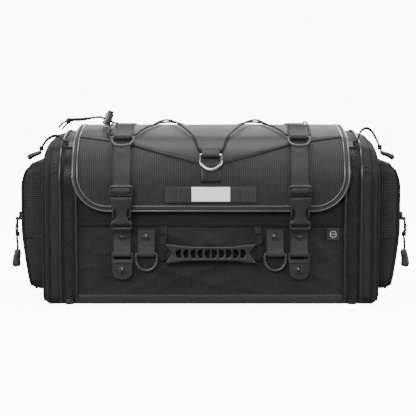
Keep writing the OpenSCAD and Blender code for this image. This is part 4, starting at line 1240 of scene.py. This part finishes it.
# ---- grip --------------------------------------------------------------------------------------
GRIP_Z = 75.5
PATCH_X = 66.4
GRIP_Y = -HD - 10.0
hl, hh = 64.0, 13.5
corner = [(-hl, hh), (-hl + 14, hh - 1), (-hl + 30, hh - 3), (0, hh - 3.6), (hl - 30, hh - 3),
    (hl - 14, hh - 1)]
outline = []
top = smooth_path([(x, z, 0) for x, z in corner + [(hl, hh)]], 60)[:, :2]
outline += [tuple(q) for q in top[::-1]]
outline += [(-hl + 3.5, 8.5), (-hl + 7.5, 4.0), (-hl + 9.6, 0.0), (-hl + 7.5, -4.0), (-hl + 3.5, -8.5)]
outline += [(q[0], -q[1]) for q in top]
outline += [(hl - 3.5, -8.5), (hl - 7.5, -4.0), (hl - 9.6, 0.0), (hl - 7.5, 4.0), (hl - 3.5, 8.5)]
holes = []
for s in (-1, 1):
    for i in range(5):
        c = s * (i + 0.5) * 10.1
        # each hole is a D: a flat side towards the middle and a round one away from it
        loop = [(c - s * 3.6, 6.0), (c - s * 3.6, -6.0)]
        loop += [(c + s * (-2.8 + 6.6 * math.cos(t)), 6.6 * math.sin(t))
            for t in np.linspace(-1.25, 1.25, 14)]
        holes.append(loop if s > 0 else loop[::-1])
grip = plate("grip_body", outline, holes, 7.6, 1.1, M["plastic"], at(0, GRIP_Y, GRIP_Z))
put(grip, "handle", "handle_grip")
web = []
for s in (-1, 1):
    # the webbing fills the notch of the grip, then turns up to where it is sewn on
    t = np.linspace(0, 1, 40)
    p = smooth_path([(s * 49.5, GRIP_Y + 4.4, 75.3), (s * 56, GRIP_Y + 4.6, 75.3),
        (s * 63, GRIP_Y + 5.6, 75.0), (s * 69, -HD - 3.6, 74.6), (s * 72.6, -HD - 2.7, 74.4)], 40)
    wide = np.interp(t, [0, 0.3, 0.6, 1], [5.5, 8.0, 10.6, 10.8])
    across = np.column_stack([np.zeros(40), np.zeros(40), wide / 10.0])
    web.append(band("web", p, across, (0, -1, 0), 10.0, 1.7, M["web_dark"]))
    p = smooth_path([(s * 68.6, -HD - 4.6, 67.5), (s * 68.8, -HD - 5.4, 76), (s * 63.6, -HD - 5.6, 84),
        (s * 68.4, -HD - 4.8, 91.5), (s * 65.6, -HD - 3.6, 100.8)], 50)
    turn = np.linspace(0.25, -0.1, 50)
    across = np.column_stack([np.cos(turn), np.zeros(50), s * np.sin(turn)])
    web.append(band("web", p, across, (0, -1, 0), 4.8, 1.7, M["web_dark"], wave=0.5, seed=3.0 + s))
put(join("grip_webbing", web), "handle", "handle_webbing")
patch = [strip("patch", [(-HD - 2.4, 102.6), (-HD - 2.6, 104.6), (-HD - 2.5, 109), (-HD - 1.6, 112.6),
    (-HD - 0.8, 113.0)], s * PATCH_X, 5.2, 1.6, M["web_dark"], n=24) for s in (-1, 1)]
put(join("grip_patches", patch), "bag", "handle_patches")
rows = []
for s in (-1, 1):
    rows += box_stitch(s * PATCH_X - 4.0, s * PATCH_X + 4.0, 103.8, 110.4, -HD - 3.5)
put(stitches("patch_stitches", rows, M["thread"], 2.0, 1.5, 0.3), "bag")

# ---- buckles and belt tabs ---------------------------------------------------------------------
LEAN = 5.4
BUCKLE = (-HD - 9.2, 111.0)
half_out = [(11.2, 0.0), (14.0, 3.4), (14.4, 10.0), (11.2, 16.0), (9.6, 22.0), (11.2, 28.0), (14.4, 35.0),
    (15.0, 41.0), (14.4, 46.6)]


def mirrored(h):
    return [(x, z) for x, z in h] + [(-x, z) for x, z in h[::-1]]


def soft_outline(h, n=70):
    p = smooth_path([(x, z, 0) for x, z in h], n)[:, :2]
    return mirrored([tuple(q) for q in p])


def leaned(x, dy=0.0):
    return at(x, BUCKLE[0], BUCKLE[1], rx=LEAN) @ Matrix.Translation((0, dy * MM, 0))


for side, s in SIDES:
    x = s * STRAP_X
    front_out = [(11.0, 0.0), (14.2, 2.4), (14.6, 8.0), (13.4, 11.4), (9.8, 13.6), (7.4, 17.6), (6.9, 22.0),
        (7.6, 26.4), (9.8, 30.4), (13.6, 33.2), (14.8, 37.0), (15.0, 41.0), (14.4, 46.6)]
    slot = roundrect(-12.8, 12.8, 3.6, 8.0, 1.6)
    # a back plate, a waisted front plate and a solid collar at the mouth make up the socket
    made = [plate("shell", soft_outline(half_out), [slot], 2.8, 0.8, M["plastic"], leaned(x, -1.4)),
        plate("shell", soft_outline(front_out), [slot], 2.9, 1.1, M["plastic"], leaned(x, -11.5)),
        plate("shell", [(-15.2, 38.0), (15.2, 38.0), (15.2, 46.8), (-15.2, 46.8)][::-1], [], 13.0, 1.6,
        M["plastic"], leaned(x, -6.4)), plate("shell", [(-14.2, 8.6), (14.2, 8.6), (13.2, 13.2),
        (-13.2, 13.2)][::-1], [], 12.4, 1.2, M["plastic"], leaned(x, -6.4))]
    # raised frame lines on the front plate
    made.append(tube("shell", [leaned(x, -13.0) @ Vector((px * MM, 0, pz * MM)) / MM for px,
        pz in soft_outline([(8.4, 34.0), (10.6, 36.0), (11.0, 40.0), (10.4, 43.4)], 12)], 0.45, M["plastic"],
        6, closed=True))
    put(join(f"{side}_socket", made), "bag", f"{side}_buckle_socket")
    prongs = []
    for g in (-1, 1):
        arm = smooth_path([(g * 10.2, 50.0, 0), (g * 10.4, 40.0, 0), (g * 10.4, 32.0, 0), (g * 11.6, 25.0, 0),
            (g * 11.4, 19.5, 0), (g * 9.6, 16.0, 0), (g * 7.4, 16.6, 0)], 34)
        pts = [leaned(x, -6.4) @ Vector((a[0] * MM, 0, a[1] * MM)) / MM for a in arm]
        prongs.append(tube("prong", pts, [1.9] * 12 + [2.1] * 14 + list(np.linspace(2.1, 1.3, 8)),
            M["plastic"], 10))
    ladder = [roundrect(-12.8, 12.8, 51.0, 54.2, 1.2), roundrect(-12.8, 12.8, 56.8, 60.0, 1.2)]
    prongs.append(plate("prong", roundrect(-16, 16, 47.7, 62.6, 2.6), ladder, 7.0, 1.5, M["plastic"],
        leaned(x, -6.6)))
    prongs.append(plate("prong", roundrect(-2.4, 2.4, 26.0, 48.4, 1.0), [], 3.8, 0.6, M["plastic"],
        leaned(x, -6.4)))
    for z in (49.4, 55.5, 61.2):
        p = [leaned(x, -10.2) @ Vector((px * MM, 0, z * MM)) / MM for px in np.linspace(-14, 14, 12)]
        prongs.append(tube("prong", p, 0.9, M["plastic"], 8))
    put(join(f"{side}_plug", prongs), "lid", f"{side}_buckle_plug")
    # the strap turned through the adjuster
    place = leaned(x, 0)
    turned = [(-6.6, 50.0), (-8.6, 51.2), (-11.4, 52.6), (-12.0, 55.4), (-11.4, 58.2), (-8.8, 59.6),
        (-6.2, 60.4)]
    yz = [place @ Vector((0, a * MM, b * MM)) / MM for a, b in turned]
    put(strip(f"{side}_adjuster_web", [(q[1], q[2]) for q in yz], x, WEB - 0.1, 1.4, M["web"], n=40), "lid")

    tab = [plate("tab", soft_outline([(3.4, -36.2), (8.4, -34.6), (12.4, -30.8), (14.2, -25.4), (14.4, -16.0),
        (15.5, -8.0), (15.2, 1.0), (14.2, 2.4)], 50), [roundrect(-12.6, 12.6, -7.6, -2.5, 1.4)], 4.0, 1.0,
        M["rubber"], at(x, BAR_Y, BAR_Z)), plate("tab", roundrect(-15.0, 15.0, -13.2, -9.8, 1.2), [], 2.2,
        0.7, M["rubber"], at(x, BAR_Y - 2.4, BAR_Z)), lathe("tab", [(5.6, 0), (5.5, 0.9), (4.9, 1.5),
        (4.0, 1.6), (3.4, 1.1), (3.2, 0.9), (2.2, 1.4), (1.2, 1.7), (0.05, 1.8)], M["rivet"],
        at(x, BAR_Y - 1.9, BAR_Z - 23, rx=90))]
    rib = [(x + px, BAR_Y - 2.1, BAR_Z + pz) for px, pz in smooth_path([(-12.4, -15.5, 0), (-12.2, -25, 0),
        (-9.2, -31.4, 0), (0, -34.0, 0), (9.2, -31.4, 0), (12.2, -25, 0), (12.4, -15.5, 0)], 50)[:, :2]]
    tab.append(tube("tab", rib, 0.6, M["rubber"], 8))
    put(join(f"{side}_tab_body", tab), f"{side}_belt_tab", f"{side}_belt_tab")

# ---- elastic cord ------------------------------------------------------------------------------
CORD_R = 1.5
LIE = YOKE + CORD_R + 1.7
RUN_S, RUN_C = SHOULDER_R + LID_OUT + 2, CROWN_R + LID_OUT + 2
CROWN_L = RUN_C * math.radians(180 - 2 * TANGENT)


def angle_at(s):
    if s < 0:
        return TANGENT + math.degrees(s / RUN_S)
    if s < CROWN_L:
        return TANGENT + math.degrees(s / RUN_C)
    return 180 - TANGENT + math.degrees((s - CROWN_L) / RUN_S)


def run_from(a):
    if a < TANGENT:
        return math.radians(a - TANGENT) * RUN_S
    if a < 180 - TANGENT:
        return math.radians(a - TANGENT) * RUN_C
    return CROWN_L + math.radians(a - 180 + TANGENT) * RUN_S


def on_lid(x, a, off):
    return (x, *skin_pt(a, off))


def strand(p, q, n, lift, over):
    """One run of cord between two tunnels, raised by lift where it passes over another."""
    out = []
    for i in range(1, n):
        t = i / n
        x, s = p[0] + t * (q[0] - p[0]), run_from(p[1]) + t * (run_from(q[1]) - run_from(p[1]))
        out.append(on_lid(x, angle_at(s), LIE + lift * max(0.0, 1 - abs(x - over) / 34)))
    return out


LOCK = (-155.0, 84.0, 21.0, 2.8)


def lock_point(dx, dy):
    p, t = on_lid(LOCK[0], LOCK[1], YOKE + LOCK[3]), math.radians(LOCK[2])
    return (p[0] + 7 * math.sin(t) + dx * math.cos(t), p[1] + dy, p[2] + 7 * math.cos(t) - dx * math.sin(t))


SX, SO = STRAP_X, WEB + 1.5
FA, MA, RA = STRAP_A + 8, CENTRE_A + 8, 134
FO, MO, RO, RM = YOKE + WEB_T + 2.2, YOKE + 2.2, YOKE + WEB_T + 2.4, YOKE + 2.4
route = [(-225, -48, 250), (-217, -48, 257), (-207, -46.5, 262), (-190, -46, 263)]
route += [lock_point(-12, -1.9), lock_point(0, -1.9), lock_point(9, -1.9)]
route += [on_lid(-147, 80, 5.5), on_lid(-148, 75, LIE + 1.5), on_lid(-146, 70.5, LIE + 1.8)]
route += [on_lid(-SX - SO, FA, FO), on_lid(-SX + SO, FA, FO)]
route += strand((-SX + SO, FA), (-SO, RA), 11, 0, -67)
route += [on_lid(-SO, RA, RM), on_lid(SO, RA, RM)]
route += strand((SO, RA), (SX - SO, FA), 11, 0, 67)
route += [on_lid(SX - SO, FA, FO), on_lid(SX + SO, FA, FO)]
route += strand((SX + SO + 4, FA + 5), (SX + SO + 4, RA - 4), 10, 0, 0)
route += [on_lid(SX + SO, RA, RO), on_lid(SX - SO, RA, RO)]
route += strand((SX - SO, RA), (SO, MA), 12, 3.6, 67)
route += [on_lid(SO, MA, MO), on_lid(-SO, MA, MO)]
route += strand((-SO, MA), (-SX + SO, RA), 12, 3.6, -67)
route += [on_lid(-SX + SO, RA, RO), on_lid(-SX - SO, RA, RO)]
route += strand((-SX - SO - 2, RA - 6), (-144, 93), 6, 0, 0)
route += [lock_point(12, 3), lock_point(5, 1.9), lock_point(-6, 1.9), lock_point(-14, 2.4)]
route += [(-190, -40.5, 261), (-206, -41, 260), (-214, -43, 254), (-220, -43.5, 247.5)]
path = smooth_path(route, 620)
cord_obj = tube("lacing_cord", path, CORD_R, M["cord"], 10)
put(cord_obj, "lid", "elastic_cord")
knot = []
for k, (ax, r0, dy) in enumerate(((0.2, 3.4, 0.0), (1.2, 3.1, 1.2), (2.2, 2.9, -1.0))):
    loop = [(-210 + dy + 1.4 * math.sin(t + ax), -45 + r0 * math.cos(t), 259.6 + r0 * math.sin(t + 0.3 * k))
        for t in full_turn(22)]
    knot.append(tube("knot", loop, 1.5, M["cord"], 9, closed=True))
put(join("cord_knot", knot), "lid")

# ---- pockets -----------------------------------------------------------------------------------
PR = 16.0
CLOTH_SEAM_Z = 94.0


def pocket_loop(inset=0.0, n=168):
    y0, y1, z0, z1 = -POCKET_HY + inset, POCKET_HY - inset, POCKET_Z0 + inset, POCKET_Z1 - inset
    p = resample(roundrect(y0, y1, z0, z1, PR, 10), n, closed=True)
    t = np.roll(p, -1, 0) - np.roll(p, 1, 0)
    t /= np.linalg.norm(t, axis=1)[:, None]
    return p, np.stack([t[:, 1], -t[:, 0]], 1)


def pocket_x(z, x=None):
    """The pocket's outer face: it slants in towards its foot."""
    return (POCKET_X1 if x is None else x) - 12.0 * max(0.0, (105 - z) / 88) ** 1.25


def pocket_bend(x, y, z):
    """Rounds the pocket off towards its outer top edge."""
    t = min(1.0, max(0.0, (x - END_X1) / (POCKET_X1 - END_X1)))
    u, v = min(1.0, max(0.0, (z - 120) / 84)), min(1.0, max(0.0, (z - 165) / 39))
    return x - 9 * t * v * v, y, z - 9 * t * t * u * u


PAN_Y0 = span("right_pocket_door")[0][1] + 0.4


def cloth_fill(ob, voxel, pressure, cap, held):
    """Fills closed cloth with air for a moment and keeps the shape. held tells the points sewn down."""
    scene = bpy.context.scene

    def baked():
        me = bpy.data.meshes.new_from_object(ob.evaluated_get(bpy.context.evaluated_depsgraph_get()))
        ob.modifiers.clear()
        return me

    m = ob.modifiers.new("voxels", "REMESH")
    m.mode = "VOXEL"
    m.voxel_size = voxel * MM
    ob.data = baked()
    start = np.array([v.co[:] for v in ob.data.vertices])
    sewn = ob.vertex_groups.new(name="sewn")
    sewn.add([i for i, v in enumerate(start) if held(*(v / MM))], 1.0, "REPLACE")
    cloth = ob.modifiers.new("fill", "CLOTH")
    st = cloth.settings
    st.quality = 5
    st.mass = 0.3
    st.tension_stiffness = st.compression_stiffness = 12
    st.shear_stiffness = 6
    st.bending_stiffness = 0.4
    st.use_pressure = True
    st.uniform_pressure_force = pressure
    st.effector_weights.gravity = 0
    st.vertex_group_mass = "sewn"
    for f in range(1, 21):
        scene.frame_set(f)
    me = baked()
    scene.frame_set(1)
    now = np.array([v.co[:] for v in me.vertices])
    move = now - start
    far = np.linalg.norm(move, axis=1)[:, None]
    now = start + move * np.minimum(1.0, cap * MM / np.maximum(far, 1e-9))
    me.vertices.foreach_set("co", now.astype(np.float32).ravel())
    ob.data = me
    ob.vertex_groups.clear()
    me.polygons.foreach_set("use_smooth", np.ones(len(me.polygons), bool))
    ob.modifiers.new("round", "SUBSURF").levels = 1
    ob.modifiers["round"].render_levels = 1
    return ob


def pocket_panel():
    """The outer panel of the right pocket, a closed pad with a soft crown."""
    p, _ = pocket_loop(1.5, 150)
    p[:, 0] = np.maximum(p[:, 0], PAN_Y0)
    c = np.array([0.5 * (PAN_Y0 + POCKET_HY), 110.0])
    verts = []
    ks = [(1.0, -2.4), (0.985, -0.9), (0.95, 0.2), (0.88, 1.0), (0.78, 1.9), (0.62, 2.8), (0.44, 3.4),
        (0.24, 3.7), (0.06, 3.8)]
    back = [(k, -5.2 + 0.9 * (1 - k)) for k in (0.06, 0.3, 0.6, 0.85, 0.96, 1.0)]
    for k, d in ks[::-1] + back[::-1]:
        for q in p:
            y, z = c + (q - c) * k
            w = 0.5 * wob(0, y, z, 44, 5.0) * (1 - k) if d > -2 else 0.0
            verts.append(pocket_bend(pocket_x(z) + d + w, y, z))
    n, m = len(p), len(ks) + len(back)
    faces = lattice(m, n, closed_v=True) + caps(m, n)
    ob = tidy(build("panel", verts, faces, M["mesh"]))

    def held(x, y, z):
        return z < 25 or z > POCKET_Z1 - 14 or y < PAN_Y0 + 4 or y > POCKET_HY - 5 or abs(z
            - CLOTH_SEAM_Z) < 2.5

    return cloth_fill(ob, 4.5, 5.0, 5.0, held)


def two_cloths(ob, mats, pick):
    """Gives each face one of the cloths by its middle."""
    me = ob.data
    me.materials.clear()
    for m in mats:
        me.materials.append(m)
    for f in me.polygons:
        f.material_index = pick(*(f.center / MM))
    return ob


def pocket_pick(x, y, z):
    return 1 if z < CLOTH_SEAM_Z or z > POCKET_Z1 - 22 else 0


panel = pocket_panel()
lug = (POCKET_X1 + 6.5, -POCKET_HY + 3.5, 120.0)
for side, s in SIDES:
    me = panel.data.copy()
    if s < 0:
        me.transform(Matrix.Scale(-1, 4, (1, 0, 0)))
        me.flip_normals()
    ob = link(f"{side}_pocket_panel", me)
    for mod in panel.modifiers:
        ob.modifiers.new(mod.name, mod.type).levels = 1
    two_cloths(ob, [M["mesh"], M["smooth_pocket"]], pocket_pick)
    put(ob, f"{side}_pocket_door", f"{side}_pocket_door")
    # the pocket's wall, a little full between its seams
    p, nrm = pocket_loop()
    verts = []
    ts = np.linspace(0, 1, 16)
    for t in ts:
        for q, n in zip(p, nrm):
            xo = pocket_x(q[1], POCKET_X1 - (1.0 if n[0] < -0.7 else 6.4))
            x = END_X1 - 1.0 + (xo - END_X1 + 1.0) * t
            o = -0.8 + 1.5 * math.sin(math.pi * t) ** 0.7 - 2.6 * max(0.0, t - 0.9) * 10 * 0.4
            o += 0.8 * wob(x, q[0], q[1], 30, 8.0 + s) * math.sin(math.pi * t)
            v = pocket_bend(x, q[0] + n[0] * o, q[1] + n[1] * o)
            verts.append((s * v[0], v[1], v[2]))
    faces = lattice(len(ts), len(p), closed_v=True, flip=s < 0)
    wall = build(f"{side}_pocket_wall", verts, faces, M["mesh"])
    mid = wall.data.polygons[len(p) * 8]
    if (mid.center - Vector((s * 0.255, 0, 0.11))).dot(mid.normal) < 0:
        wall.data.flip_normals()
    two_cloths(wall, [M["mesh"], M["smooth_pocket"]], pocket_pick)
    mod = wall.modifiers.new("cloth", "SOLIDIFY")
    mod.thickness = 2.0 * MM
    mod.offset = -1
    put(wall, f"{side}_end", f"{side}_pocket_shell")
    # bound seams of the wall, the seam between the two cloths, and its thread
    rim_pts = [(s * (END_X1 + 0.6), q[0] + n[0] * 0.6, q[1] + n[1] * 0.6) for q, n in zip(p, nrm)]
    out_pts = [pocket_bend(pocket_x(q[1], POCKET_X1 - (1.6 if n[0] < -0.7 else 7.0)), q[0] - n[0] * 0.3,
        q[1] - n[1] * 0.3) for q, n in zip(p, nrm)]
    out_pts = [(s * a, b, c) for a, b, c in out_pts]
    made = [tube("binding", rim_pts, 1.5, M["binding"], 8, closed=True),
        tube("binding", out_pts, 1.6, M["binding"], 8, closed=True)]
    for y, d in ((-POCKET_HY, -1), (POCKET_HY, 1)):
        made.append(tube("seam", [(s * x, y + d * (-0.3 + 1.1 * math.sin(math.pi * (x - END_X1) / 33)),
            CLOTH_SEAM_Z) for x in np.linspace(END_X1 + 1, POCKET_X1 - 3, 20)], 0.9, M["binding"], 8))
    put(join(f"{side}_pocket_seams", made), f"{side}_end")
    rows = [[(s * x, y + d * (0.2 + 1.1 * math.sin(math.pi * (x - END_X1) / 33)), z)
        for x in np.linspace(END_X1 + 2, POCKET_X1 - 4, 20)] for y, d in ((-POCKET_HY, -1), (POCKET_HY, 1))
        for z in (CLOTH_SEAM_Z - 2.5, CLOTH_SEAM_Z + 2.6)]
    put(stitches(f"{side}_pocket_stitches", rows, M["thread_dark"], 2.8, 2.0, 0.3), f"{side}_end")
    # the pocket's zip down its front edge
    xz = POCKET_X1 + 0.25
    zs = np.arange(POCKET_Z0 + PR + 3, POCKET_Z1 - PR - 3, 2.4)
    verts, faces = [], []
    for k, z in enumerate(zs):
        first = len(verts)
        y0 = -POCKET_HY + (1.8 if k % 2 else 3.0)
        for y, g in ((y0, 0.7), (y0 + 1.6, 1.0), (y0 + 3.4, 0.7)):
            for u, v in ((-0.7, -0.75), (0.9, -0.45), (0.9, 0.45), (-0.7, 0.75)):
                q = pocket_bend(pocket_x(z, xz) + u * g, y, z + v * g)
                verts.append((s * q[0], q[1], q[2]))
        faces += lattice(3, 4, first, closed_v=True) + [[first, first + 1, first + 2, first + 3],
            [first + 11, first + 10, first + 9, first + 8]]
    coil = tidy(build("coil", verts, faces, M["coil"], smooth=False))
    line = [pocket_bend(pocket_x(z) - 0.1, -POCKET_HY + 3.6, z) for z in np.linspace(POCKET_Z0 + PR,
        POCKET_Z1 - PR, 50)]
    line = [(s * a, b, c) for a, b, c in line]
    put(join(f"{side}_pocket_coil", [band("tape", line, (0, 1, 0), (s, 0, 0), 3.2, 1.1, M["zip"]), coil]),
        f"{side}_end", f"{side}_pocket_zip")
    # slider's eye, cord, knot and moulded pull
    x, y, z = s * lug[0], lug[1], lug[2]
    hang = [(x + 0.5 * math.sin(k * 0.55), y + 0.3 * math.cos(k * 0.8), z - 1.9 - k * 2.62)
        for k in range(18)]
    pull_cord = tube(f"{side}_pocket_pull_cord", smooth_path(hang, 60), 1.25, M["cord"], 9)
    twin = [(a + s * 2.7 * math.sin(math.pi * min(1, k / 9)) + s * 1.2 * (k > 9), b + 0.8, c) for k,
        (a, b, c) in enumerate(hang)]
    put(pull_cord, f"{side}_pocket_pull", f"{side}_pocket_pull")
    made = []
    for k, (r0, dz) in enumerate(((2.3, -1.6), (2.5, 0.0), (2.1, 1.7))):
        ring = [(x + r0 * math.cos(t), y + r0 * math.sin(t), z - 22 + dz + 0.9 * math.sin(2 * t + k))
            for t in full_turn(18)]
        made.append(tube("knot", ring, 1.2, M["cord"], 8, closed=True))
    eye = [(x + 2.0 * math.sin(t), y, z + 2.0 * math.cos(t)) for t in full_turn(20)]
    made.append(tube("knot", eye, 1.0, M["cord"], 8, closed=True))
    made.append(tube("knot", smooth_path(twin, 60), 1.25, M["cord"], 9))
    put(join(f"{side}_pocket_pull_knot", made), f"{side}_pocket_pull")
    bean = smooth_path([(x, y, z - 44.5), (x + s * 0.3, y, z - 50), (x + s * 1.6, y, z - 57),
        (x + s * 2.2, y, z - 64), (x + s * 1.4, y, z - 70)], 40)
    rr = np.interp(np.linspace(0, 1, 40), [0, 0.06, 0.25, 0.5, 0.8, 0.95, 1],
        [2.8, 4.2, 5.2, 5.4, 6.4, 5.2, 3.0])
    grip_ = tube(f"{side}_pocket_pull_grip", bean, rr, M["rubber"], 16, flat=0.66)
    put(grip_, f"{side}_pocket_pull")
bpy.data.objects.remove(panel)

# ---- zip pulls of the end boxes ----------------------------------------------------------------
SL = 62.0


def slider_pt(x, y, z):
    c = math.radians(SL)
    p = (-SHOULDER_Y - (SHOULDER_R + 2.4) * math.cos(c), SHOULDER_Z + (SHOULDER_R + 2.4) * math.sin(c))
    t = math.radians(90 - SL)
    return (ZX + x, p[0] + y * math.cos(t) - z * math.sin(t), p[1] + y * math.sin(t) + z * math.cos(t))


for side, s in SIDES:
    pts = [slider_pt(5.9, 0, 4.6), slider_pt(7.5, 0, 4.6 + (1 if s < 0 else 4))]
    if s < 0:
        pts += [(217, -114, 238.5), (226, -111, 238.5), (235, -107, 233), (242, -103, 224), (246, -101, 216)]
    else:
        pts += [(214, -113, 245), (221, -111, 250), (229, -109, 247), (236, -106, 237), (242, -103, 225),
            (246, -101, 215)]
    line = smooth_path([(s * a, b, c) for a, b, c in pts], 70)
    cordlet = tube(f"{side}_pull_cord", line, 1.35, M["cord"], 9)
    put(cordlet, f"{side}_zip_pull", f"{side}_zip_pull")
    c = slider_pt(4, 0, 4.6)
    eye = [(s * (c[0] + 1.9 * math.cos(t)), c[1], c[2] + 1.9 * math.sin(t)) for t in full_turn(20)]
    made = [tube("knot", eye, 0.9, M["cord"], 8, closed=True)]
    c = line[-9]
    for k in (-1.6, 0.4, 2.2):
        ring = [(c[0] + 2.3 * math.cos(t), c[1] + 2.3 * math.sin(t), c[2] + k + 0.7 * math.sin(2 * t))
            for t in full_turn(18)]
        made.append(tube("knot", ring, 1.2, M["cord"], 8, closed=True))
    twin = [(a, b - 2.6 * math.sin(math.pi * k / 69), c + 1.6 * math.sin(math.pi * k / 69)) for k,
        (a, b, c) in enumerate(line)]
    made.append(tube("knot", twin, 1.35, M["cord"], 9))
    put(join(f"{side}_pull_knot", made), f"{side}_zip_pull")
    bean = smooth_path([(s * 244.5, -100.6, 216.2), (s * 249, -100, 214.2), (s * 255, -100, 212.2),
        (s * 260, -100, 209.6), (s * 263.5, -100, 207.2)], 44)
    rr = np.interp(np.linspace(0, 1, 44), [0, 0.06, 0.25, 0.5, 0.8, 0.95, 1],
        [3.0, 4.4, 5.4, 5.8, 7.0, 5.6, 3.2])
    moulded_pull = tube(f"{side}_pull_grip", bean, rr, M["rubber"], 16, flat=0.6)
    put(moulded_pull, f"{side}_zip_pull")

# ---- CAD nodes that stay -----------------------------------------------------------------------
STAY = {"base_board": ("board", 0.5), "cord_lock": ("lock", 0.9), "cord_lock_plunger": ("plastic", 1.2),
    "left_top_ring": ("dark_metal", 0), "right_top_ring": ("dark_metal", 0), "centre_ring": ("chrome", 0),
    "left_lower_ring": ("dark_metal", 0), "right_lower_ring": ("dark_metal", 0)}
for side, _ in SIDES:
    STAY[f"{side}_zip_slider"] = ("dark_metal", 0.5)
    STAY[f"{side}_pocket_slider"] = ("dark_metal", 0.4)
for name, (mat, width) in STAY.items():
    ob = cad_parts[name]
    if not ob.material_slots:
        ob.data.materials.append(M[mat])
    for sl in ob.material_slots:
        sl.material = M[mat]
    if width:
        mod = ob.modifiers.new("edges", "BEVEL")
        mod.width = width * MM
        mod.segments = 3
        mod.limit_method = "ANGLE"
